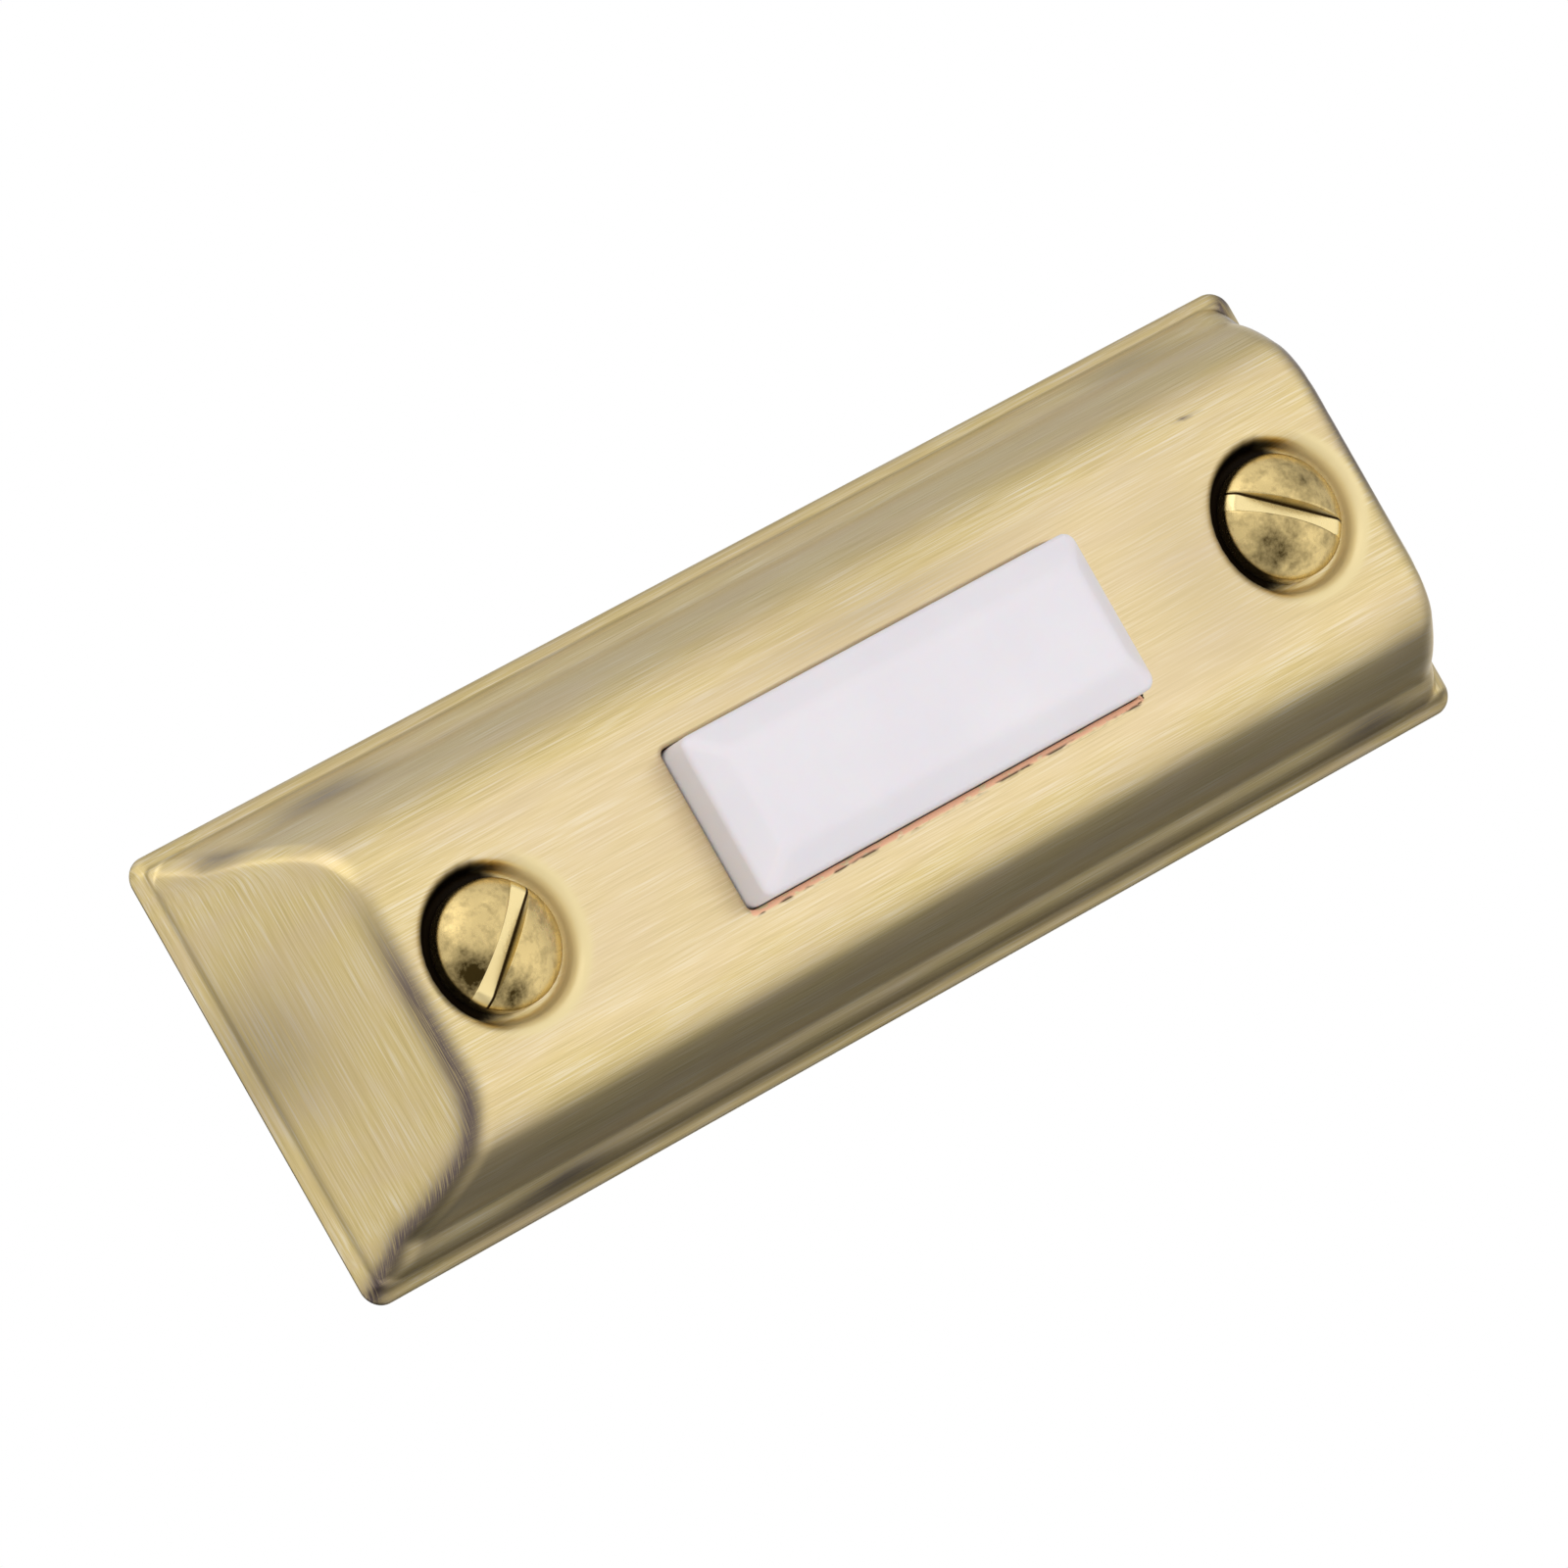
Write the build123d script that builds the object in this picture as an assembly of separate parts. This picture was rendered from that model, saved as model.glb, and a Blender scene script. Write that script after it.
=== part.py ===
from build123d import *
from math import cos, radians, tan
import os

os.makedirs("parts", exist_ok=True)

# Lighted doorbell push. It is modelled lying face up: X across the plate, Y along it,
# Z out from the wall, with Z = 0 on the back of the flange. It is stood up at export.

# Cover plate, stamped and drawn from sheet
plate_length = 73.0
plate_width = 25.4
plate_height = 11.6
sheet = 0.7
flange_width = 0.55
flange_corner = 1.2
wall_draft = 21.6
foot_radius = 0.25
shoulder_radius = 4.2
ridge_radius = 1.6
edge_round = 0.2

# Screw wells drawn into the crown
screw_end_inset = 10.55
well_radius = 4.15
well_depth = 1.3
well_draft = 8.0
well_roll = 0.9
well_corner = 0.4
screw_hole = 4.4

# Window and push bar
window_length = 26.4
window_width = 9.7
window_corner = 0.5
window_break = 0.25
bar_clearance = 0.3
bar_corner = 0.6
bar_proud = 3.4
bar_bevel_height = 1.3
bar_bevel_along = 1.55
bar_bevel_across = 1.7
bar_wall = 1.2
bar_roof = 1.6
bar_skirt = 3.6
bar_travel = 1.4
lug_length = 1.4
lug_width = 7.2
lug_thickness = 1.0
rib_thickness = 1.0

# Moulded contact base
base_recess = 0.2
base_plate = 1.6
base_clearance = 0.25
base_corner = 1.5
guide_clearance = 0.15
tub_wall = 1.2
tub_drop = 0.5
floor_level = 4.4
floor_thickness = 1.2
channel_width = 8.6
channel_end_wall = 1.0
block_roof = 1.8
post_radius = 3.7
post_web = 1.4
pillar_radius = 2.9
pillar_height = 3.6

# Contacts and terminals
contact_radius = 1.1
rivet_shank = 0.9
rivet_head = 0.4
rivet_clearance = 0.05
strip_thickness = 0.5
strip_width = 3.8
strip_end_margin = 0.5
bridge_thickness = 0.3
bridge_width = 6.2
bridge_end = 0.75
bridge_bump = 0.2
bridge_level = 7.4
lamp_hole = 2.4
stake_gap = 0.15
stake_radius = 0.6
stake_head = 0.9
stake_head_height = 0.4
stake_clearance = 0.05
terminal_end_gap = 0.25
terminal_thread = 3.0
terminal_head = 5.6
terminal_head_height = 1.6
terminal_screw_length = 6.0
terminal_slot = 0.8
thread_clearance = 0.02
clamp_side = 6.0
clamp_depth = 5.2
clamp_thickness = 0.5

# Return springs
spring_end_gap = 0.2
spring_diameter = 3.5
spring_wire = 0.4
spring_turns = 4.5
wire_sides = 4
spring_length = 5.0
spigot_radius = 1.1
spigot_length = 0.8
seat_radius = 1.9

# Lamp and its resistor
lamp_radius = 1.5
lamp_height = 5.3
lamp_rim_radius = 1.9
lamp_rim_height = 1.0
lead_pitch = 2.54
lead_radius = 0.25
lead_hole_radius = 0.4
lead_lap = 1.0
resistor_radius = 0.9
resistor_length = 3.6
resistor_x = 3.1
resistor_y = 1.2
resistor_z = 1.5

# Number 6 slotted round-head brass wood screws, one inch long
screw_head_radius = 3.4
screw_head_height = 2.35
screw_rim_height = 0.9
screw_slot_width = 0.95
screw_slot_depth = 1.1
screw_neck_radius = 1.95
screw_thread_radius = 1.75
screw_length = 25.4
screw_point = 4.0
slot_angle_top = -38.5
slot_angle_bottom = 40.0

# Levels and sizes that follow from the values above
lean = tan(radians(wall_draft))
wall_inset = flange_width + foot_radius * tan(radians(45 - wall_draft / 2)) - sheet * lean
wall_across = sheet / cos(radians(wall_draft))
crown_inside = plate_height - sheet
well_floor = plate_height - well_depth
well_underside = well_floor - sheet
screw_y = plate_length / 2 - screw_end_inset
bar_length = window_length - 2 * bar_clearance
bar_width = window_width - 2 * bar_clearance
bar_top = plate_height + bar_proud
bar_shoulder = bar_top - bar_bevel_height
bar_ceiling = bar_top - bar_roof
bar_foot = plate_height - bar_skirt
lug_top = crown_inside
lug_bottom = lug_top - lug_thickness
stop_level = lug_bottom - bar_travel
bridge_top = bridge_level + bridge_thickness
contact_level = bridge_level - bridge_bump - bar_travel
channel_roof = floor_level - floor_thickness
strip_back = channel_roof - strip_thickness
clamp_back = strip_back - clamp_thickness
spring_seat = floor_level + spring_length
spring_position = bar_length / 2 - bar_wall - spring_end_gap - seat_radius
stake_position = spring_position - spring_diameter / 2 - stake_gap - stake_head
contact_position = stake_position - stake_head - stake_gap - contact_radius
strip_inner_end = contact_position - contact_radius - strip_end_margin
channel_y = screw_y - post_radius - channel_end_wall
terminal_position = channel_y - terminal_end_gap - clamp_depth / 2
screw_tip = well_floor - screw_length


def hipped_form(inset, height, shoulder, ridge):
    """Arched section along Y, cut off by two leaning ends whose edges are rolled."""
    half_width = plate_width / 2 - inset
    half_length = plate_length / 2 - inset
    run = height * lean
    section = Polygon(
        (-half_width, 0), (half_width, 0), (half_width - run, height), (run - half_width, height),
        align=None,
    )
    upper = [v for v in section.vertices() if v.Y > height / 2]
    section = fillet(upper, shoulder)
    profile = Polygon(
        (-half_length, 0), (half_length, 0), (half_length - run, height), (run - half_length, height),
        align=None,
    )
    arch = extrude(Plane.XZ * section, plate_length, both=True)
    block = extrude(Plane.YZ * profile, plate_width, both=True)
    form = arch & block
    ends = [f for f in form.faces() if abs(f.normal_at().Y) > 0.5]
    rims = [e for f in ends for e in f.edges() if e.center().Z > 0.01]
    return fillet(rims, ridge)


def well(grow, roll, corner):
    """Solid of the drawn well, grown by the sheet for its underside."""
    top = plate_height - grow + 0.02
    bottom = well_floor - grow
    mouth = well_radius + grow
    throat = mouth - (top - bottom) * tan(radians(well_draft))
    outline = Polygon(
        (0, bottom), (throat, bottom), (mouth, top), (mouth + 2.0, top), (mouth + 2.0, top + 1.5), (0, top + 1.5),
        align=None,
    )
    low = [v for v in outline.vertices() if abs(v.X - throat) < 1e-6]
    outline = fillet(low, corner)
    high = [v for v in outline.vertices() if abs(v.X - mouth) < 1e-6 and abs(v.Y - top) < 1e-6]
    if roll > 0:
        outline = fillet(high, roll)
    return revolve(Plane.XZ * outline, Axis.Z)


def both_ends(shape, y):
    """The shape at +y, and turned half round at -y."""
    return [Pos(0, y, 0) * shape, Pos(0, -y, 0) * Rot(0, 0, 180) * shape]


def cover_plate():
    flange = extrude(RectangleRounded(plate_width, plate_length, flange_corner), sheet)
    rim = [e for e in flange.edges() if abs(e.center().Z - sheet) < 1e-6]
    flange = fillet(rim, edge_round)
    body = flange + hipped_form(wall_inset, plate_height, shoulder_radius, ridge_radius)
    foot = [
        e for e in body.edges()
        if abs(e.center().Z - sheet) < 1e-4
        and abs(e.center().X) < plate_width / 2 - flange_width
        and abs(e.center().Y) < plate_length / 2 - flange_width
    ]
    body = fillet(foot, foot_radius)
    hollow = hipped_form(
        wall_inset + wall_across, crown_inside, shoulder_radius - sheet, ridge_radius - sheet
    )
    for cup in both_ends(well(sheet, 0, well_corner + sheet), screw_y):
        hollow -= cup
    for cut in both_ends(well(0, well_roll, well_corner), screw_y):
        body -= cut
    body -= hollow
    mouth = [
        e for e in body.edges()
        if abs(e.center().Z) < 1e-4
        and abs(e.center().X) < plate_width / 2 - flange_width
        and abs(e.center().Y) < plate_length / 2 - flange_width
    ]
    body = fillet(mouth, foot_radius + sheet / 2)
    for hole in both_ends(Pos(0, 0, well_floor) * Cylinder(screw_hole / 2, 4 * sheet), screw_y):
        body -= hole
    window = extrude(RectangleRounded(window_width, window_length, window_corner), plate_height * 2)
    body -= window
    punched = [
        e for e in body.edges()
        if abs(e.center().Z - plate_height) < 1e-4
        and abs(e.center().X) < window_width / 2 + 0.01
        and abs(e.center().Y) < window_length / 2 + 0.01
    ]
    return chamfer(punched, window_break)


def push_bar():
    lower = RectangleRounded(bar_width, bar_length, bar_corner)
    upper = RectangleRounded(
        bar_width - 2 * bar_bevel_across, bar_length - 2 * bar_bevel_along, bar_corner
    )
    bar = Pos(0, 0, bar_foot) * extrude(lower, bar_shoulder - bar_foot)
    bar += loft([Pos(0, 0, bar_shoulder) * lower, Pos(0, 0, bar_top) * upper], ruled=True)
    soft = [e for e in bar.edges() if abs(e.center().Z - bar_top) < 1e-4]
    bar = fillet(soft, 0.35)
    room = Rectangle(bar_width - 2 * bar_wall, bar_length - 2 * bar_wall)
    bar -= Pos(0, 0, bar_foot) * extrude(room, bar_ceiling - bar_foot)
    lug_y = bar_length / 2 + lug_length / 2 - bar_wall / 4
    lug = Pos(0, lug_y, lug_bottom) * extrude(
        Rectangle(lug_width, lug_length + bar_wall / 2), lug_thickness
    )
    outer_rim = [e for e in lug.edges().filter_by(Axis.X) if e.center().Z < lug_top - 0.1 and e.center().Y > lug_y]
    lug = chamfer(outer_rim, lug_thickness / 3)
    bar += lug
    bar += Rot(0, 0, 180) * lug
    rib = Pos(0, stake_position, bridge_top) * extrude(
        Rectangle(bar_width - bar_wall, rib_thickness), bar_ceiling - bridge_top + 0.1
    )
    peg = Pos(0, stake_position, bridge_level - stake_head_height / 2) * extrude(
        Circle(stake_radius), bridge_thickness + stake_head_height
    )
    staked = Pos(0, stake_position, bridge_level - stake_head_height) * extrude(
        Circle(stake_head), stake_head_height
    )
    staked = chamfer(staked.faces().sort_by(Axis.Z)[0].edges(), stake_head_height / 2)
    seat = Pos(0, spring_position, spring_seat) * extrude(
        Circle(seat_radius), bar_ceiling - spring_seat + 0.1
    )
    spigot = Pos(0, spring_position, spring_seat - spigot_length) * extrude(
        Circle(spigot_radius), spigot_length + 0.1
    )
    spigot = chamfer(spigot.faces().sort_by(Axis.Z)[0].edges(), spigot_radius / 4)
    inner = rib + peg + staked + seat + spigot
    bar += inner
    bar += Rot(0, 0, 180) * inner
    return bar


def contact_base():
    inside = wall_inset + wall_across + (base_recess + base_plate) * lean + base_clearance
    floor = Pos(0, 0, base_recess) * extrude(
        RectangleRounded(plate_width - 2 * inside, plate_length - 2 * inside, base_corner), base_plate
    )
    guide_x = bar_width / 2 + guide_clearance
    guide_y = bar_length / 2 + guide_clearance
    lug_reach = bar_length / 2 + lug_length + 2 * guide_clearance
    tub_x = guide_x + tub_wall
    tub_y = lug_reach + tub_wall
    tub = Pos(0, 0, base_recess) * extrude(
        RectangleRounded(2 * tub_x, 2 * tub_y, bar_corner), crown_inside - tub_drop - base_recess
    )
    block = Pos(0, 0, base_recess) * extrude(
        RectangleRounded(2 * tub_x, 2 * (channel_y + channel_end_wall), bar_corner),
        channel_roof + block_roof - base_recess,
    )
    post = Pos(0, 0, base_recess) * extrude(Circle(post_radius), well_underside - base_recess)
    web = Pos(0, 0, base_recess) * extrude(
        Rectangle(2 * tub_x, post_web), floor_level + floor_thickness - base_recess
    )
    end_web = Pos(0, post_radius, base_recess) * extrude(
        Rectangle(post_web, post_radius), floor_level - base_recess
    )
    pillar = Pos(0, 0, channel_roof) * extrude(Circle(pillar_radius), block_roof + pillar_height)
    pillar = chamfer(pillar.faces().sort_by(Axis.Z)[-1].edges(), 0.3)
    base = floor + tub + block
    for shape in both_ends(post + web + end_web, screw_y) + both_ends(pillar, terminal_position):
        base += shape
    base -= Pos(0, 0, floor_level) * extrude(
        Rectangle(2 * guide_x, 2 * guide_y), crown_inside
    )
    base -= Pos(0, 0, stop_level) * extrude(
        Rectangle(lug_width + 2 * guide_clearance, 2 * lug_reach), crown_inside
    )
    base -= extrude(
        RectangleRounded(channel_width, 2 * channel_y, bar_corner), channel_roof
    )
    for hole in both_ends(extrude(Circle(screw_hole / 2), plate_height), screw_y):
        base -= hole
    rivet_hole = Pos(0, 0, channel_roof) * extrude(
        Circle(rivet_shank + rivet_clearance), floor_thickness
    )
    thread = Pos(0, 0, channel_roof) * extrude(
        Circle(terminal_thread / 2 + thread_clearance), terminal_screw_length - clamp_thickness
    )
    for hole in both_ends(rivet_hole, contact_position) + both_ends(thread, terminal_position):
        base -= hole
    for x in (-lead_pitch / 2, lead_pitch / 2):
        base -= Pos(x, 0, channel_roof) * extrude(Circle(lead_hole_radius), floor_thickness)
    spigot = Pos(0, 0, floor_level - 0.1) * extrude(Circle(spigot_radius), spigot_length + 0.1)
    spigot = chamfer(spigot.faces().sort_by(Axis.Z)[-1].edges(), spigot_radius / 4)
    for shape in both_ends(spigot, spring_position):
        base += shape
    return base


def mounting_screw(slot_angle):
    """Domed slotted head on the well floor, smooth neck tapering as far as the wall, then the
    threaded length with its gimlet point, kept as a plain cylinder of the thread's size."""
    head_top = well_floor + screw_head_height
    core = screw_thread_radius
    with BuildPart() as screw:
        with BuildSketch(Plane.XZ):
            with BuildLine():
                Polyline(
                    (0, screw_tip), (core * 0.25, screw_tip + 0.3), (core, screw_tip + screw_point),
                    (core, 0), (screw_neck_radius, well_floor),
                    (screw_head_radius - 0.12, well_floor),
                    (screw_head_radius, well_floor + 0.12),
                    (screw_head_radius, well_floor + screw_rim_height),
                )
                ThreePointArc(
                    (screw_head_radius, well_floor + screw_rim_height),
                    (screw_head_radius * 0.62, head_top - (screw_head_height - screw_rim_height) * 0.3),
                    (0, head_top),
                )
                Line((0, head_top), (0, screw_tip))
            make_face()
        revolve(axis=Axis.Z)
    slot = Pos(0, 0, head_top - screw_slot_depth) * extrude(
        Rectangle(screw_slot_width, 3 * screw_head_radius), screw_head_height
    )
    return screw.part - Rot(0, 0, slot_angle) * slot


def contact_rivet():
    """Fixed contact: stands on the base floor and is set over the back of its strip."""
    top = Pos(0, 0, floor_level) * extrude(Circle(contact_radius), contact_level - floor_level)
    top = chamfer(top.faces().sort_by(Axis.Z)[-1].edges(), 0.2)
    shank = Pos(0, 0, strip_back) * extrude(Circle(rivet_shank), floor_level - strip_back)
    tail = Pos(0, 0, strip_back - rivet_head) * extrude(Circle(contact_radius), rivet_head)
    tail = chamfer(tail.faces().sort_by(Axis.Z)[0].edges(), rivet_head / 2)
    return top + shank + tail


def terminal_plate():
    outer_end = terminal_position + clamp_depth / 2
    length = outer_end - strip_inner_end
    strip = Pos(0, strip_inner_end + length / 2, strip_back) * extrude(
        Rectangle(strip_width, length), strip_thickness
    )
    pad = Pos(0, terminal_position, strip_back) * extrude(
        RectangleRounded(clamp_side, clamp_depth, 0.5), strip_thickness
    )
    plate = strip + pad
    plate -= Pos(0, contact_position, strip_back) * extrude(
        Circle(rivet_shank + rivet_clearance), strip_thickness
    )
    plate -= Pos(0, terminal_position, strip_back) * extrude(
        Circle(terminal_thread / 2 + rivet_clearance), strip_thickness
    )
    return plate


def wire_clamp():
    """Square washer with two corners turned down, so that a wire can't slip out."""
    clamp = Pos(0, 0, clamp_back) * extrude(
        RectangleRounded(clamp_side, clamp_depth, 0.4), clamp_thickness
    )
    lip = Pos(clamp_side / 2 - clamp_thickness / 2, 0, clamp_back - 0.5) * extrude(
        Rectangle(clamp_thickness, clamp_depth - 0.8), 0.5 + clamp_thickness / 2
    )
    clamp += lip
    clamp += Rot(0, 0, 180) * lip
    return clamp - Pos(0, 0, clamp_back - 1) * extrude(
        Circle(terminal_thread / 2 + rivet_clearance), 2 + clamp_thickness
    )


def terminal_screw():
    head = Pos(0, 0, clamp_back - terminal_head_height) * extrude(
        Circle(terminal_head / 2 - clamp_thickness), terminal_head_height
    )
    head = chamfer(head.faces().sort_by(Axis.Z)[0].edges(), 0.4)
    shank = Pos(0, 0, clamp_back) * extrude(Circle(terminal_thread / 2), terminal_screw_length)
    shank = chamfer(shank.faces().sort_by(Axis.Z)[-1].edges(), 0.3)
    slot = Pos(0, 0, clamp_back - terminal_head_height) * extrude(
        Rectangle(2 * terminal_head, terminal_slot), terminal_head_height / 2
    )
    return head + shank - slot


def contact_bridge():
    """Strip under the bar: clears the lamp, is held by two stakes, bumps over each rivet."""
    half = stake_position + bridge_end
    strip = Pos(0, 0, bridge_level) * extrude(
        RectangleRounded(bridge_width, 2 * half, 1.0), bridge_thickness
    )
    strip -= Pos(0, 0, bridge_level) * extrude(Circle(lamp_hole), bridge_thickness)
    bump = Pos(0, 0, bridge_level - bridge_bump) * extrude(Circle(contact_radius * 0.75), bridge_bump + 0.1)
    for y in (-contact_position, contact_position):
        strip += Pos(0, y, 0) * bump
    for y in (-stake_position, stake_position):
        strip -= Pos(0, y, bridge_level) * extrude(
            Circle(stake_radius + stake_clearance), bridge_thickness
        )
    return strip


def return_spring():
    coil_radius = (spring_diameter - spring_wire) / 2
    height = spring_length - spring_wire
    path = Pos(0, 0, floor_level + spring_wire / 2) * Helix(height / spring_turns, height, coil_radius)
    start = Plane(origin=path @ 0, z_dir=path % 0)
    return sweep(start * RegularPolygon(spring_wire / 2, wire_sides), path, is_frenet=True)


def lamp_lens():
    with BuildPart() as lamp:
        with BuildSketch(Plane.XZ):
            with BuildLine():
                crown = floor_level + lamp_height - lamp_radius
                Polyline(
                    (0, floor_level), (lamp_rim_radius, floor_level),
                    (lamp_rim_radius, floor_level + lamp_rim_height),
                    (lamp_radius, floor_level + lamp_rim_height), (lamp_radius, crown),
                )
                RadiusArc((lamp_radius, crown), (0, crown + lamp_radius), -lamp_radius)
                Line((0, crown + lamp_radius), (0, floor_level))
            make_face()
        revolve(axis=Axis.Z)
    return lamp.part


def wire(*points):
    """Thin wire, kept to a few facets, along straight runs with small bends."""
    path = FilletPolyline(*points, radius=2 * lead_radius)
    start = Plane(origin=path @ 0, z_dir=path % 0)
    return sweep(start * RegularPolygon(lead_radius, wire_sides), path)


def lamp_leads():
    side = lead_pitch / 2
    lap_level = strip_back - lead_radius
    to_strip = wire(
        (-side, 0, floor_level), (-side, 0, lap_level), (-side, -strip_inner_end - lead_lap, lap_level)
    )
    joint_y = resistor_y - resistor_length / 2 - lead_lap
    to_resistor = wire(
        (side, 0, floor_level), (side, 0, resistor_z), (side, joint_y, resistor_z),
        (resistor_x - lead_radius, joint_y, resistor_z),
    )
    return Compound([to_strip, to_resistor])


def resistor_body():
    body = Pos(resistor_x, resistor_y, resistor_z) * Rot(90, 0, 0) * Cylinder(
        resistor_radius, resistor_length
    )
    return chamfer(body.edges().filter_by(GeomType.CIRCLE), resistor_radius / 3)


def resistor_leads():
    near = resistor_y - resistor_length / 2
    far = resistor_y + resistor_length / 2
    stub = Pos(resistor_x, near - lead_lap, resistor_z) * Rot(90, 0, 0) * Cylinder(
        lead_radius, 2 * lead_lap
    )
    lap_level = strip_back - lead_radius
    to_strip = wire(
        (resistor_x, far, resistor_z), (resistor_x, far + lead_lap, resistor_z),
        (resistor_x, far + lead_lap, lap_level), (strip_width / 4, far + lead_lap, lap_level),
    )
    return Compound([stub, to_strip])


pieces = {
    "cover_plate": cover_plate(),
    "push_bar": push_bar(),
    "contact_base": contact_base(),
    "contact_bridge": contact_bridge(),
    "mounting_screw_top": Pos(0, screw_y, 0) * mounting_screw(slot_angle_top),
    "mounting_screw_bottom": Pos(0, -screw_y, 0) * mounting_screw(slot_angle_bottom),
    "led_lens": lamp_lens(),
    "led_leads": lamp_leads(),
    "resistor_body": resistor_body(),
    "resistor_leads": resistor_leads(),
}
pairs = {
    "return_spring": (return_spring(), spring_position),
    "contact_rivet": (contact_rivet(), contact_position),
    "terminal_screw": (terminal_screw(), terminal_position),
    "wire_clamp": (wire_clamp(), terminal_position),
    "terminal_plate": (terminal_plate(), 0),
}
for name, (shape, y) in pairs.items():
    pieces[name + "_top"], pieces[name + "_bottom"] = both_ends(shape, y)

# Stood up on the wall: Z up the plate, Y into the wall, the face towards -Y
for name, shape in pieces.items():
    export_step(Rot(90, 0, 0) * shape, f"parts/{name}.step")
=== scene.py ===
# %% [markdown]
# # A lighted doorbell push in antique brass
#
# The real thing is a small plate drawn from sheet brass, with a white bar that is pressed,
# two brass wood screws, and behind it a moulded base with contacts, springs and a lamp.
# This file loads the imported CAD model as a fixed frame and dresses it. Each piece that the
# light plays on is made again as a smooth surface, worked out with numpy in millimetres.

# %% Load the frame
import bpy
import numpy as np
from mathutils import Matrix, Vector


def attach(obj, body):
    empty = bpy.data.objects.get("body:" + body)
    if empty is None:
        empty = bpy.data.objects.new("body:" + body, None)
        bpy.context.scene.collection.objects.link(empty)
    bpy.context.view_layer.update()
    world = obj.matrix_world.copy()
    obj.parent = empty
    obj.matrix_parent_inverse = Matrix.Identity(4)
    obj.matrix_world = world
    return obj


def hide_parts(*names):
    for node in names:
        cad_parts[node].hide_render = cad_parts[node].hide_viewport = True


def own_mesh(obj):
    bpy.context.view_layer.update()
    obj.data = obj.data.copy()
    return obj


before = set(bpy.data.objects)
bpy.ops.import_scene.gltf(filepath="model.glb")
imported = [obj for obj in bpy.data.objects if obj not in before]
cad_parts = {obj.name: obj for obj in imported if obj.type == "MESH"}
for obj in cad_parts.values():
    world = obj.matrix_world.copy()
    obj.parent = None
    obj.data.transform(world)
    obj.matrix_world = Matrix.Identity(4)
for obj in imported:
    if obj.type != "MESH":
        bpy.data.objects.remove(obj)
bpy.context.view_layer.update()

# %% [markdown]
# Two small helpers serve every finish. Colours are written as sRGB hex, as a paint shop
# would give them, but a shader works in linear light, so one function converts them.
# The other adds a node, sets it, and plugs in whatever is handed to it: a number or a colour
# goes straight on the socket, and another node's socket is linked.

# %% Colour and node helpers
def colour(text):
    """sRGB hex to linear: c/12.92 below 0.04045, else ((c + 0.055)/1.055) to the power 2.4."""
    c = np.array([int(text[i:i + 2], 16) for i in (1, 3, 5)]) / 255
    linear = np.where(c <= 0.04045, c / 12.92, ((c + 0.055) / 1.055) ** 2.4)
    return (*linear.tolist(), 1.0)


def plug(tree, node, inputs):
    """Fill a node's inputs, which are given by name or number, as a value or a socket to link."""
    for name, value in inputs.items():
        if isinstance(value, bpy.types.NodeSocket):
            tree.links.new(value, node.inputs[name])
        else:
            node.inputs[name].default_value = value


def add(tree, kind, inputs=None, **settings):
    """One shader node with its settings made and its inputs plugged."""
    made = tree.nodes.new("ShaderNode" + kind)
    for name, value in settings.items():
        setattr(made, name, value)
    plug(tree, made, inputs or {})
    return made


def finish_of(name):
    """An empty material: its node tree, with an output, and a Principled shader linked to it."""
    material = bpy.data.materials.new(name)
    material.use_nodes = True
    tree = material.node_tree
    tree.nodes.clear()
    shader = add(tree, "BsdfPrincipled")
    add(tree, "OutputMaterial", {"Surface": shader.outputs["BSDF"]})
    return material, tree, shader


# %% [markdown]
# Shapes are worked out lying face up, as the press tool sees them: x across the plate,
# s along it, h out from the wall. The wall frame has Z up and the face towards -Y, so a
# point (x, s, h) in millimetres stands at (x, -h, s) / 1000 in metres.


def make_piece(name, points, faces, body, replaced, material, smooth=True):
    """Mesh from an array of (x, s, h) rows and an array or list of faces, riding on a body."""
    mesh = bpy.data.meshes.new(name)
    placed = np.column_stack([points[:, 0], -points[:, 2], points[:, 1]]) / 1000
    mesh.from_pydata(placed.tolist(), [], faces.tolist() if hasattr(faces, "tolist") else faces)
    mesh.polygons.foreach_set("use_smooth", np.full(len(mesh.polygons), smooth))
    mesh.materials.append(material)
    piece = bpy.data.objects.new(name, mesh)
    bpy.context.scene.collection.objects.link(piece)
    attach(piece, body)
    if replaced:
        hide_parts(*replaced)
    return piece


def give_attribute(piece, name, values):
    """One number per vertex, for a material to read."""
    layer = piece.data.attributes.new(name, "FLOAT", "POINT")
    layer.data.foreach_set("value", np.asarray(values, np.float32))


def give_uv(piece, u, v):
    """A UV map from one u and one v per vertex."""
    corner = np.empty(len(piece.data.loops), np.int32)
    piece.data.loops.foreach_get("vertex_index", corner)
    layer = piece.data.uv_layers.new(name="surface")
    layer.data.foreach_set("uv", np.column_stack([u[corner], v[corner]]).astype(np.float32).ravel())


def grid_faces(rows, columns, wrap=False, start=0):
    """Quads over a grid of rows x columns points, the last column joined to the first if wrap."""
    i = np.arange(rows - 1)[:, None]
    j = np.arange(columns if wrap else columns - 1)[None, :]
    k = (j + 1) % columns
    quads = np.stack(np.broadcast_arrays(i * columns + j, i * columns + k,
                                         (i + 1) * columns + k, (i + 1) * columns + j), -1)
    return quads.reshape(-1, 4) + start


# %% [markdown]
# ## The sizes of the plate
#
# These repeat the driving sizes of the CAD source, because this file can't read it.
# The plate is about the size of a stick of chewing gum, 73 by 25.4 mm, and 11.6 mm high.

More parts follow.
